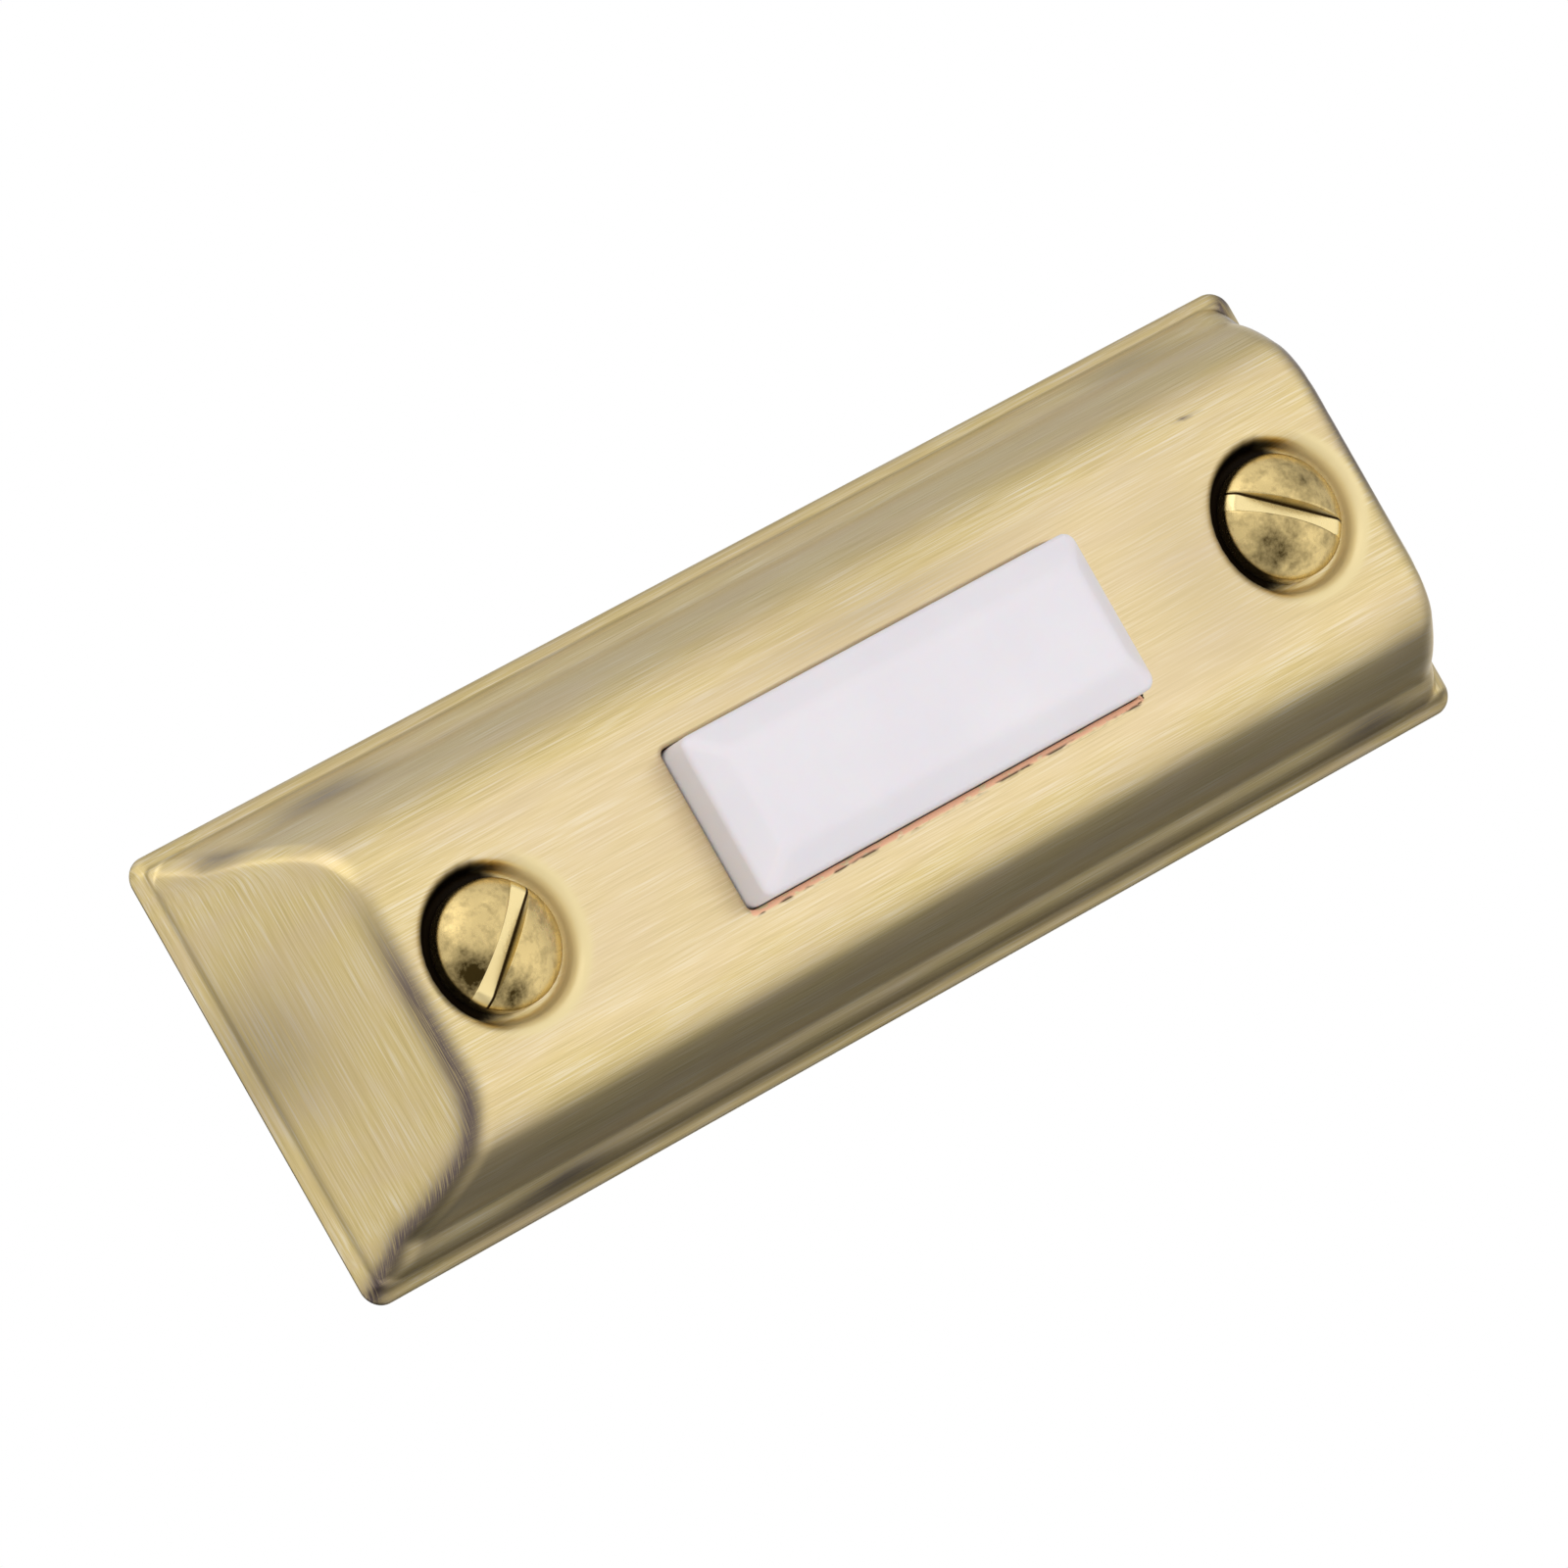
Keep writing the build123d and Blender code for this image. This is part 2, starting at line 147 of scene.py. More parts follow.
# %% Sizes, in millimetres
HALF_WIDTH, HALF_LENGTH, HEIGHT, SHEET = 12.7, 36.5, 11.6, 0.7
FLANGE, CORNER, EDGE, FOOT = 0.55, 1.2, 0.2, 0.25
SHOULDER, RIDGE = 4.2, 1.6
DRAFT = np.radians(21.6)
LEAN = np.tan(DRAFT)
INSET = FLANGE + FOOT * np.tan(np.radians(45) - DRAFT / 2) - SHEET * LEAN
WELL_S, WELL_R, WELL_DEPTH, WELL_DRAFT, WELL_ROLL, WELL_CORNER = 25.95, 4.15, 1.3, np.radians(8), 0.9, 0.4
HOLE = 2.2
BULGE, FLARE, DROOP, DROOP_REACH = 0.5, 0.3, 0.44, 0.62
WINDOW_X, WINDOW_S, WINDOW_CORNER, WINDOW_BREAK = 4.61, 13.0, 0.4, 0.32
WELL_FLOOR = HEIGHT - WELL_DEPTH
print("wall starts", round(INSET, 3), "mm in from the edge")

# %% [markdown]
# ## The form of the drawn cover
#
# On the real plate a punch draws the sheet over a long arch with hipped ends, and a narrow
# flange is left all round. It could be a subdivided box, but its light comes from exact
# radii: 4.2 mm along the shoulders, 1.6 mm on the hips, 0.25 mm at the foot. So the surface
# is given by signed distances. Each face has a depth below it, two faces are joined by a
# rolling ball, and the height over each grid point is found by halving an interval.

# %% Distances and rolling balls
def ease(low, high, value):
    """Smoothstep: 0 below low, 1 above high, 3t^2 - 2t^3 between."""
    t = np.clip((value - low) / (high - low), 0, 1)
    return t * t * (3 - 2 * t)


def ball(a, b, radius, between):
    """Depth under two faces whose depths are a and b, with the edge between them rounded.
    With c the cosine between the faces' normals, and p = R - a, q = R - b, the distance from
    the ball's centre is sqrt((p*p + q*q - 2*c*p*q) / (1 - c*c)), and the depth is R less that."""
    p, q, c = radius - a, radius - b, between
    inside = (p - c * q > 0) & (q - c * p > 0)
    away = np.sqrt(np.maximum(p * p + q * q - 2 * c * p * q, 0) / (1 - c * c))
    return np.where(inside, radius - away, np.minimum(a, b))


def edge_distance(x, s):
    """Distance in from the plate's outline, a rectangle with rounded corners."""
    p, q = np.abs(x) - HALF_WIDTH + CORNER, np.abs(s) - HALF_LENGTH + CORNER
    return CORNER - np.hypot(np.maximum(p, 0), np.maximum(q, 0)) - np.minimum(np.maximum(p, q), 0)


def outside(x, s, h):
    """Height above the outer skin, as a signed distance: the arch along s and the leaning ends
    are joined by the ridge's ball, and the result is joined to the flange by the foot's ball.
    The long walls swell by 4 * BULGE * t * (1 - t) above 3 mm, and flare out by FLARE below,
    as drawn sheet does, and the flange droops towards its edge by DROOP * (1 - d / DROOP_REACH)^1.3."""
    t = np.clip((h - 3) / (HEIGHT - 3), 0, 1)
    swell = BULGE * 4 * t * (1 - t) - FLARE * ease(1.6, 3.6, h)
    wall = (HALF_WIDTH - INSET - LEAN * h + swell - np.abs(x)) * np.cos(DRAFT)
    lip = -DROOP * np.clip(1 - edge_distance(x, s) / DROOP_REACH, 0, 1)**1.3
    arch = ball(wall, HEIGHT - h, SHOULDER, np.sin(DRAFT))
    arc_x = HALF_WIDTH - INSET - LEAN * HEIGHT - SHOULDER * np.tan(np.radians(45) - DRAFT / 2)
    turned = np.arctan2(np.abs(x) - arc_x, h - HEIGHT + SHOULDER)
    upright = np.cos(np.clip(turned, 0, np.radians(90) - DRAFT))
    end = (HALF_LENGTH - INSET - LEAN * h - np.abs(s)) * np.cos(DRAFT)
    body = ball(arch, end, RIDGE, np.sin(DRAFT) * upright)
    return ball(-body, h - SHEET - lip, FOOT, np.sin(DRAFT)), arch, end


def skin_height(x, s):
    """The h at which outside() is zero, by 34 halvings of 0 to 12 mm."""
    low, high = np.zeros_like(x), np.full_like(x, 12.0)
    for _ in range(34):
        middle = (low + high) / 2
        above = outside(x, s, middle)[0] > 0
        low, high = np.where(above, low, middle), np.where(above, middle, high)
    return (low + high) / 2


def well_drop(rho):
    """How far the screw wells sink the crown at radius rho. The profile is the floor, a corner
    of 0.4 mm, a wall that leans 8 degrees, and a roll of 0.9 mm, each arc tangent to its lines."""
    turn = np.tan((np.pi / 2 - WELL_DRAFT) / 2)
    throat = WELL_R - WELL_DEPTH * np.tan(WELL_DRAFT)
    floor_end, roll_end = throat - WELL_CORNER * turn, WELL_R + WELL_ROLL * turn
    wall_low = throat + WELL_CORNER * turn * np.sin(WELL_DRAFT)
    wall_high = WELL_R - WELL_ROLL * turn * np.sin(WELL_DRAFT)
    drop = WELL_DEPTH - WELL_CORNER + np.sqrt(np.maximum(WELL_CORNER**2 - (rho - floor_end)**2, 0))
    wall = (WELL_R - rho) / np.tan(WELL_DRAFT)
    roll = WELL_ROLL - np.sqrt(np.maximum(WELL_ROLL**2 - (rho - roll_end)**2, 0))
    return np.select([rho < floor_end, rho < wall_low, rho < wall_high, rho < roll_end],
                     [WELL_DEPTH, drop, wall, roll], 0.0)


across = np.linspace(0, HALF_WIDTH - EDGE, 9)
print("heights across the middle:", skin_height(across, across * 0).round(2).tolist())

# %% [markdown]
# The grid's lines run along and across, close together where the form bends. A square grid
# can't follow a round well or a rounded corner, so squares are pressed into circles: a point
# at (p, q) from the centre, at square radius m = max(|p|, |q|), goes to distance m in its
# own direction, and further out the grid eases back to straight lines.

# %% Grid lines, and squares pressed into circles
def press_round(x, s, centre, full, none):
    """Square rings round the centre become circles out to radius full, and are straight by none."""
    p, q = x - centre[0], s - centre[1]
    m = np.maximum(np.abs(p), np.abs(q))
    shrink = np.where(m > 0, m / np.maximum(np.hypot(p, q), 1e-9), 1.0)
    k = shrink + (1 - shrink) * (ease(full, none, m) if none > full else 0)
    return np.where(m < none, centre[0] + p * k, x), np.where(m < none, centre[1] + q * k, s)


well_lines = np.array([0, 0.75, 1.5, 2.2, 2.6, 3.1, 3.4, 3.62, 3.72, 3.82, 3.9, 3.955, 3.99, 4.02, 4.05,
                       4.09, 4.15, 4.23, 4.33, 4.45, 4.59, 4.75, 4.94, 5.15])
window_lines = np.array([0, 0.04, 0.1, 0.18, 0.25, 0.28, 0.32, 0.38])
edge_lines = [12.5, 12.56, 12.62, 12.67, 12.7]
foot_lines = [10.95, 11.2, 11.42, 11.58, 11.7, 11.8, 11.86, 11.92,
              11.98, 12.04, 12.1, 12.16, 12.23, 12.31, 12.4, 12.45]
half_x = np.unique(np.round(np.concatenate([
    well_lines, WINDOW_X + window_lines,
    np.linspace(5.3, 8.5, 17), np.linspace(8.66, 10.78, 15), foot_lines, edge_lines]), 3))
half_s = np.unique(np.round(np.concatenate([
    np.linspace(0, 12.6, 22), WINDOW_S - 0.5 + 0.1 * np.arange(5), WINDOW_S + window_lines,
    np.linspace(14, 20.2, 8), WELL_S - well_lines, WELL_S + well_lines,
    np.linspace(31.25, 32.4, 11), np.linspace(32.55, 34.58, 14),
    np.array(foot_lines + edge_lines) + HALF_LENGTH - HALF_WIDTH]), 3))
CLOSEST = 0.018
half_x = half_x[np.concatenate([[True], np.diff(half_x) > CLOSEST])]
half_s = half_s[np.concatenate([[True], np.diff(half_s) > CLOSEST])]
line_x = np.concatenate([-half_x[:0:-1], half_x])
line_s = np.concatenate([-half_s[:0:-1], half_s])
print("grid:", len(line_x), "by", len(line_s), "lines")

# %% [markdown]
# The sheet is 0.7 mm thick, and its edge is what makes it read as metal and not as card.
# So the outer skin is carried inwards along its own normal to give the inner skin, cells
# inside the window and the screw holes are left out, and every edge that is left open is
# joined from skin to skin. The result is one closed shell, as the stamped part is.

# %% The cover's two skins
def skins(line_x, line_s):
    """Outer and inner skin over one grid, and which cells are sheet. The normal is the cross
    product of the grid's two directions, taken before the edges are rounded."""
    x, s = np.meshgrid(line_x, line_s, indexing="ij")
    grid_x, grid_s = x.copy(), s.copy()
    plate = (HALF_WIDTH - CORNER, HALF_LENGTH - CORNER, CORNER, CORNER + 1e-6, HALF_LENGTH)
    window = (WINDOW_X - WINDOW_CORNER, WINDOW_S - WINDOW_CORNER, WINDOW_CORNER + 0.25, 1.3, WINDOW_S + 2)
    for sx, ss in ((-1, -1), (-1, 1), (1, -1), (1, 1)):
        for corner_x, corner_s, full, none, reach in (plate, window):
            mine = (x * sx > corner_x) & (s * ss > corner_s) & (np.abs(s) <= reach)
            rx, rs = press_round(x, s, (sx * corner_x, ss * corner_s), full, none)
            x, s = np.where(mine, rx, x), np.where(mine, rs, s)
    for centre in (-WELL_S, WELL_S):
        x, s = press_round(x, s, (0, centre), 5.1, 6.6)
    rho = np.hypot(x, np.abs(s) - WELL_S)
    h = skin_height(x, s) - well_drop(rho)
    along = np.stack([np.gradient(v, axis=0) for v in (x, s, h)], -1)
    over = np.stack([np.gradient(v, axis=1) for v in (x, s, h)], -1)
    normal = np.cross(along, over)
    normal /= np.linalg.norm(normal, axis=-1, keepdims=True)
    inner = np.stack([x, s, h], -1) - SHEET * normal
    from_edge = np.minimum(HALF_WIDTH - np.abs(grid_x), HALF_LENGTH - np.abs(grid_s))
    h = h - np.where(from_edge < EDGE, EDGE - np.sqrt(np.maximum(EDGE**2 - (EDGE - from_edge)**2, 0)), 0)
    from_window = np.maximum(np.abs(grid_x) - WINDOW_X, np.abs(grid_s) - WINDOW_S)
    rolled = np.clip(1 - from_window / WINDOW_BREAK, 0, 1)
    h = h - np.where(from_window > -1e-6, 0.4 * WINDOW_BREAK * (1 - np.sqrt(1 - rolled**2)), 0)
    inner[..., 2] = np.where(from_edge < 1.4, np.maximum(inner[..., 2], 0), inner[..., 2])
    middle_x = (grid_x[:-1, :-1] + grid_x[1:, 1:]) / 2
    middle_s = (grid_s[:-1, :-1] + grid_s[1:, 1:]) / 2
    open_window = (np.abs(middle_x) < WINDOW_X) & (np.abs(middle_s) < WINDOW_S)
    open_hole = np.maximum(np.abs(middle_x), np.abs(np.abs(middle_s) - WELL_S)) < HOLE
    kept = ~(open_window | open_hole)
    return np.stack([x, s, h], -1), inner, kept, (grid_x, grid_s, rho, from_window)


def closed_shell(outer, inner, kept):
    """Faces of the outer skin, the inner skin turned over, and a strip along every open edge."""
    rows, columns = outer.shape[:2]
    quads = grid_faces(rows, columns).reshape(rows - 1, columns - 1, 4)[kept]
    total = rows * columns
    sides = np.concatenate([quads[:, [0, 1]], quads[:, [1, 2]], quads[:, [2, 3]], quads[:, [3, 0]]])
    key = np.sort(sides, axis=1) @ np.array([total, 1])
    found, first, count = np.unique(key, return_index=True, return_counts=True)
    rim = sides[first[count == 1]]
    strips = np.column_stack([rim[:, 1], rim[:, 0], rim[:, 0] + total, rim[:, 1] + total])
    faces = np.concatenate([quads, quads[:, ::-1] + total, strips])
    points = np.concatenate([outer.reshape(-1, 3), inner.reshape(-1, 3)])
    used = np.unique(faces)
    renumber = np.full(len(points), -1)
    renumber[used] = np.arange(len(used))
    return points[used], renumber[faces], used


outer_skin, inner_skin, kept_cells, places = skins(line_x, line_s)
cover_points, cover_faces, cover_used = closed_shell(outer_skin, inner_skin, kept_cells)
print("cover:", len(cover_points), "points", 2 * len(cover_faces), "triangles")

# %% [markdown]
# ## Antique brass, brushed
#
# The cover is sheet brass, or steel plated with it, toned dark, brushed back with an
# abrasive belt, and lacquered. The belt ran along the plate on the crown and the long sides,
# and along the short edge on the two ends, so the streaks are painted in the surface's own
# measure: u is the millimetres round the arch, v the millimetres over the ends. The tone
# that the belt couldn't reach stays in the wells and in the crease at the foot, and a painted
# shadow darkens them further on their shaded sides.

# %% Where on the surface each point is
def arc_length(stations, heights):
    """Running length of a profile: the sum of the square roots of dx*dx + dh*dh."""
    steps = np.hypot(np.diff(stations), np.diff(heights))
    return np.concatenate([[0], np.cumsum(steps)])


def band_at(value, middle, half):
    """A soft band: exp(-((value - middle) / half)^2)."""
    return np.exp(-((value - middle) / half)**2)


def spot(u, v, at, half_u, half_v):
    """A soft oval patch: one band across another."""
    return band_at(u, at[0], half_u) * band_at(v, at[1], half_v)


fine_x, fine_s = np.linspace(0, HALF_WIDTH, 800), np.linspace(0, HALF_LENGTH, 1600)
measure_x = arc_length(fine_x, skin_height(fine_x, fine_x * 0))
measure_s = arc_length(fine_s, skin_height(fine_s * 0, fine_s))
print("half the way round:", measure_x[-1].round(2), "mm; half the way over:", measure_s[-1].round(2), "mm")

grid_x, grid_s, rho, from_window = places
skin_x, skin_s, skin_h = np.moveaxis(outer_skin, -1, 0)
round_u = np.sign(skin_x) * np.interp(np.abs(skin_x), fine_x, measure_x)
over_v = np.sign(skin_s) * np.interp(np.abs(skin_s), fine_s, measure_s)
_, arch_depth, end_depth = outside(skin_x, skin_s, skin_h)
past_hip = arch_depth - end_depth
endwise = ease(-0.45, 0.45, past_hip)

# %% [markdown]
# Nothing real is the same all over. The belt misses the wells and the foot, so their dark tone
# stays, and a painted shadow lies over it: a dark crescent on one side of each well, a darker
# foot on the lower side, and black in the window's gap at its ends. The far wall of each well
# gets a painted light. Hands wear the crown pale, stain settles on the ridges with painted shade
# on one side of them and on the top end's shoulder, and the punch leaves a raw edge at the window.
# Each of these is a field from 0 to 1 over the skin, made of soft steps, bands and spots in
# millimetres, which the finish reads as an attribute.

# %% Toned wells with a painted shadow, hazed far walls with painted light, a stained ridge with painted shade
# A painted shadow: a dark crescent on one side of each well, where shade falls, over the tone that the belt
# left there.
shadow_side = np.where(skin_s > 0, np.radians(237), np.radians(123))
from_left = np.cos(np.arctan2(np.abs(skin_s) - WELL_S, skin_x) - shadow_side)
well_edge = 3.6 + 0.72 * ease(-0.2, 0.5, from_left)
tone_and_shade = ease(well_edge + 0.3, well_edge - 0.25, rho) * ease(-0.45, 0.1, from_left)
# Painted light: the far wall of each well, opposite the crescent, is made pale, and its skin duller.
haze_and_light = ease(3.5, 4.1, rho) * ease(5.1, 4.6, rho) * ease(0.1, -0.4, from_left)
# The ridge's stain, with painted shade: darker towards +x at the bottom end and towards -x at the top.
ridge_line = band_at(past_hip, 0.35, 0.75) * ease(24, 30, np.abs(skin_s)) * ease(1.5, 0.5, end_depth)
smudge_and_shade = ridge_line * ease(-8.5, 1.5, skin_x * np.sign(-skin_s))
# stains, and one painted shade on the top end's shoulder at (8.2, 31.0): the middle as (x, s), half the
# length, half the width, and how dark
for at, reach_s, reach_x, depth in (
        ((-11.0, -26.0), 3.4, 0.55, 0.7), ((11.5, -24.4), 3.0, 0.35, 0.9), ((-11.2, 27.8), 3.2, 0.5, 0.4),
        ((11.4, 30.2), 2.6, 0.5, 0.75), ((-9.5, 34.4), 0.5, 0.12, 0.9), ((-6.9, 23.9), 0.45, 0.06, 1.0),
        ((11.1, 31.1), 0.6, 0.1, 1.0), ((-10.6, -33.4), 1.2, 0.6, 0.7), ((-5.8, 2.0), 9.0, 1.5, 0.26),
        ((-1.0, -35.4), 1.6, 4.0, 0.45), ((8.2, 31.0), 2.4, 1.8, 0.25), ((0.0, 20.0), 4.0, 6.0, 0.15),
        ((-2.0, 32.0), 0.8, 6.0, 0.2)):
    smudge_and_shade = np.maximum(smudge_and_shade, depth * spot(skin_x, skin_s, at, reach_x, reach_s))
print("share of the skin that is stained:", round(float((smudge_and_shade > 0.5).mean()), 3))

# %% A worn crown, patina and painted shade at the foot, a raw window edge, a painted shadow in its gap
worn = 0.4 * ease(10.9, 11.5, skin_h) * ease(34, 20, np.abs(skin_s))
inward = edge_distance(skin_x, skin_s)
# Patina in the groove at the foot, with painted shade over it, much darker on the lower side, x > 0, than
# on the upper.
foot_patina_and_shade = 0.4 * band_at(inward, 0.7, 0.12)
lower = 0.38 + 0.34 * band_at(inward, 0.65, 0.25)
foot_patina_and_shade = np.maximum(foot_patina_and_shade, lower * ease(11.45, 11.85, skin_x) * ease(0.03, 0.16, inward))
foot_patina_and_shade = np.maximum(foot_patina_and_shade, 0.2 * ease(11.8, 12.1, -skin_x))
lower_side = grid_x > WINDOW_X - 1e-6
cracked = band_at(from_window, 0.31, 0.06) * (grid_x > WINDOW_X) * (np.abs(grid_s) < WINDOW_S)
# A painted shadow, black in the gap at the window's ends on the lower side.
window_gap_shadow = ease(0.32, 0.26, from_window) * ease(9.6, 12.2, grid_s) * (grid_s < WINDOW_S + 0.2)
tone_and_shade = np.maximum(tone_and_shade, window_gap_shadow * lower_side)
sheared = ease(0.36, 0.26, from_window) * lower_side * (np.abs(grid_s) < WINDOW_S + 0.1)
print("darkest tone at the foot:", foot_patina_and_shade.max().round(2))


# %% The brushed brass finish
def brushed_brass():
    """Hairlines are noise drawn out along the belt's run, 0.07 mm wide and 4 mm long, with lines
    of 0.16 by 7 mm, bands of 1.3 by 50 mm, and clouds of tone of 3 by 9 mm. The painted fields
    lay their own shades over that, some of them broken up by noise of their own. Some are real
    tone, stain and wear; over the dark tone and the stain lies painted shadow and shade, and the
    wells' far walls carry painted light."""
    material, tree, shader = finish_of("antique_brass_brushed_lacquered")
    place = add(tree, "UVMap", uv_map="surface").outputs["UV"]
    fields = {name: add(tree, "Attribute", attribute_name=name).outputs["Fac"]
              for name in ("endwise", "tone_and_shade", "sheared", "haze_and_light", "worn", "cracked", "smudge_and_shade")}

    def noise(width, length, detail):
        scaled = add(tree, "VectorMath", {0: place, 1: (1 / width, 1 / length, 1)}, operation="MULTIPLY")
        inputs = {"Vector": scaled.outputs[0], "Scale": 1.0, "Detail": detail, "Roughness": 0.6}
        return add(tree, "TexNoise", inputs, noise_dimensions="2D").outputs["Fac"]

    def streaks(width, length, detail):
        either = {0: fields["endwise"], 2: noise(width, length, detail), 3: noise(length, width, detail)}
        return add(tree, "Mix", either, data_type="FLOAT").outputs[0]

    fine, line, band = streaks(0.07, 4.0, 2.0), streaks(0.16, 7.0, 1.0), streaks(1.3, 50.0, 0.0)
    tone = 0.39
    for pattern, share in ((fine, 0.38), (line, 0.18), (band, 0.06)):
        tone = add(tree, "Math", {0: pattern, 1: share, 2: tone}, operation="MULTIPLY_ADD").outputs[0]
    ramp = add(tree, "ValToRGB", {"Fac": tone})
    for stop, (where, shade) in zip((ramp.color_ramp.elements[0], ramp.color_ramp.elements[1],
                                     ramp.color_ramp.elements.new(0.7)),
                                    ((0.45, "#b8a56c"), (0.95, "#efdda6"), (0.7, "#e0cc94"))):
        stop.position, stop.color = where, colour(shade)
    for name, pattern, low, high in (("smudge_and_shade", fine, 0.15, 0.5),
                                     ("sheared", noise(0.3, 0.9, 3.0), 0.36, 0.42),
                                     ("cracked", noise(0.5, 1.6, 2.0), 0.48, 0.6)):
        ragged = add(tree, "MapRange", {"Value": pattern, "From Min": low, "From Max": high}).outputs[0]
        fields[name] = add(tree, "Math", {0: fields[name], 1: ragged}, operation="MULTIPLY").outputs[0]
    cloud = {"Value": noise(3.0, 9.0, 2.0), "From Min": 0.4, "From Max": 0.7, "To Max": 0.35}
    fields["clouds"] = add(tree, "MapRange", cloud).outputs[0]
    brass = ramp.outputs["Color"]
    # The near-black layer is tone with painted shadow over it, the grey-violet one stain with painted
    # shade, and the last pale one painted light on the wells' far walls.
    for name, shade in (("clouds", "#dcc7a8"), ("worn", "#ead6b6"), ("smudge_and_shade", "#6a5e5e"),
                        ("tone_and_shade", "#1d150c"), ("sheared", "#ecb694"), ("cracked", "#3a2414"),
                        ("haze_and_light", "#e3d2a0")):
        layer = {0: fields[name], 6: brass, 7: colour(shade)}
        brass = add(tree, "Mix", layer, data_type="RGBA").outputs[2]
    matt = add(tree, "Math", {0: fields["haze_and_light"], 1: fields["sheared"]}, operation="MAXIMUM").outputs[0]
    metal = add(tree, "MapRange", {"Value": matt, "To Min": 1.0, "To Max": 0.25}).outputs[0]
    rough = add(tree, "MapRange", {"Value": line, "To Min": 0.31, "To Max": 0.35}).outputs[0]
    rough = add(tree, "Mix", {0: fields["tone_and_shade"], 2: rough, 3: 0.7}, data_type="FLOAT").outputs[0]
    bump = add(tree, "Bump", {"Height": fine, "Strength": 0.08, "Distance": 0.00001})
    round_way = add(tree, "Tangent", direction_type="UV_MAP", uv_map="surface").outputs[0]
    facing = add(tree, "NewGeometry").outputs["Normal"]
    over_way = add(tree, "VectorMath", {0: facing, 1: round_way}, operation="CROSS_PRODUCT").outputs[0]
    belt = {0: fields["endwise"], 4: over_way, 5: round_way}
    brush = add(tree, "Mix", belt, data_type="VECTOR").outputs[1]
    plug(tree, shader, {"Base Color": brass, "Metallic": metal, "Roughness": rough,
                        "Normal": bump.outputs["Normal"], "Tangent": brush, "Anisotropic": 0.6,
                        "Coat Weight": 0.06, "Coat Roughness": 0.3})
    return material


cover = make_piece("cover_plate_drawn", cover_points, cover_faces, "housing", ["cover_plate"],
                   brushed_brass())
# The dark field joins the wells' tone and the foot's patina, with their painted shadow.
for name, field, inside in (("endwise", endwise, 1), ("tone_and_shade", np.maximum(tone_and_shade, foot_patina_and_shade), 0),
                            ("sheared", sheared, 1), ("haze_and_light", haze_and_light, 0), ("worn", worn, 0),
                            ("cracked", cracked, 0), ("smudge_and_shade", smudge_and_shade, 0)):
    both_skins = np.concatenate([field.ravel(), inside * field.ravel()])
    give_attribute(cover, name, both_skins[cover_used])
give_uv(cover, *(np.tile(field.ravel(), 2)[cover_used] for field in (round_u, over_v)))

# %% [markdown]
# ## The wood screws
#
# Number 6 brass wood screws are turned, slotted with a saw, and rolled or cut with a thread
# of about 1.4 mm. A lathe shape alone can't carry the saw slot, so the head is laid out in
# strips parallel to the slot: across it at p = R sin(a), and along each strip at
# q = sqrt(R*R - p*p) sin(b). The slot's walls then fall exactly on grid lines.

# %% A slotted screw from head to tip
def slotted_screw(radius, rim, crown, slot_width, slot_floor, rings, power=0.75):
    """Head: h = rim + (crown - rim) * (1 - (rho/R)^2)^power, cut down to slot_floor for
    |p| < slot_width/2. Below it, rings of (radius function, h) are stacked on the head's rim."""
    half = slot_width / 2
    p = radius * np.sin(np.radians(np.linspace(-84, 84, 33)))
    p = p[np.abs(np.abs(p) - half) > 0.09 * radius / 3.4]
    edge = half + np.array([-0.17, -0.12, -0.012, -0.004, 0.012, 0.05, 0.1])
    p = np.sort(np.concatenate([p, edge, -edge]))
    b = np.radians(np.linspace(-90, 90, 41))
    across, along = np.meshgrid(p, np.sin(b), indexing="ij")
    along = along * np.sqrt(radius**2 - across**2)
    rho = np.hypot(across, along)
    h = rim + (crown - rim) * np.maximum(1 - (rho / radius)**2, 0)**power
    worn = np.clip((half + 0.1 - np.abs(across)) / 0.1, 0, 1)
    h = h - 0.05 * worn**2
    h = np.where(np.abs(across) < half - 0.008, np.minimum(h, slot_floor), h)
    head = np.stack([across, along, h], -1).reshape(-1, 3)
    poles = np.array([[-radius, 0, rim], [radius, 0, rim]])
    rows, columns = across.shape
    count = len(head)
    loop = np.concatenate([[count], np.arange(rows) * columns + columns - 1, [count + 1],
                           (np.arange(rows) * columns)[::-1]])
    loop_points = np.concatenate([head, poles])[loop]
    angle = np.arctan2(loop_points[:, 1], loop_points[:, 0])
    turned = [np.column_stack([r(angle) * np.cos(angle), r(angle) * np.sin(angle), np.full(len(loop), z)])
              for r, z in rings]
    tip = np.array([[0, 0, rings[-1][1] - 0.05 * radius]])
    points = np.concatenate([head, poles] + turned + [tip])
    first = count + 2
    n = len(loop)
    ring_ids = first + np.arange(len(rings) * n).reshape(len(rings), n)
    stack = np.concatenate([loop[None, :], ring_ids])
    k = (np.arange(n) + 1) % n
    walls = np.stack([stack[:-1], stack[:-1][:, k], stack[1:][:, k], stack[1:]], -1).reshape(-1, 4)
    j = np.arange(columns - 1)
    low_fan = np.column_stack([np.full(columns - 1, count), j, j + 1])
    last = (rows - 1) * columns + j
    high_fan = np.column_stack([np.full(columns - 1, count + 1), last + 1, last])
    end_fan = np.column_stack([ring_ids[-1], ring_ids[-1][k], np.full(n, len(points) - 1)])
    faces = grid_faces(rows, columns)[:, ::-1].tolist() + walls.tolist()
    faces += low_fan.tolist() + high_fan.tolist() + end_fan.tolist()
    return points, faces


def volume_of(points, faces):
    """Signed volume in cubic millimetres: the sum over fan triangles of a . (b x c) / 6."""
    tri = np.array([(f[0], f[i], f[i + 1]) for f in faces for i in range(1, len(f) - 1)])
    a, b, c = points[tri[:, 0]], points[tri[:, 1]], points[tri[:, 2]]
    return float(np.einsum("ij,ij->", a, np.cross(b, c)) / 6)


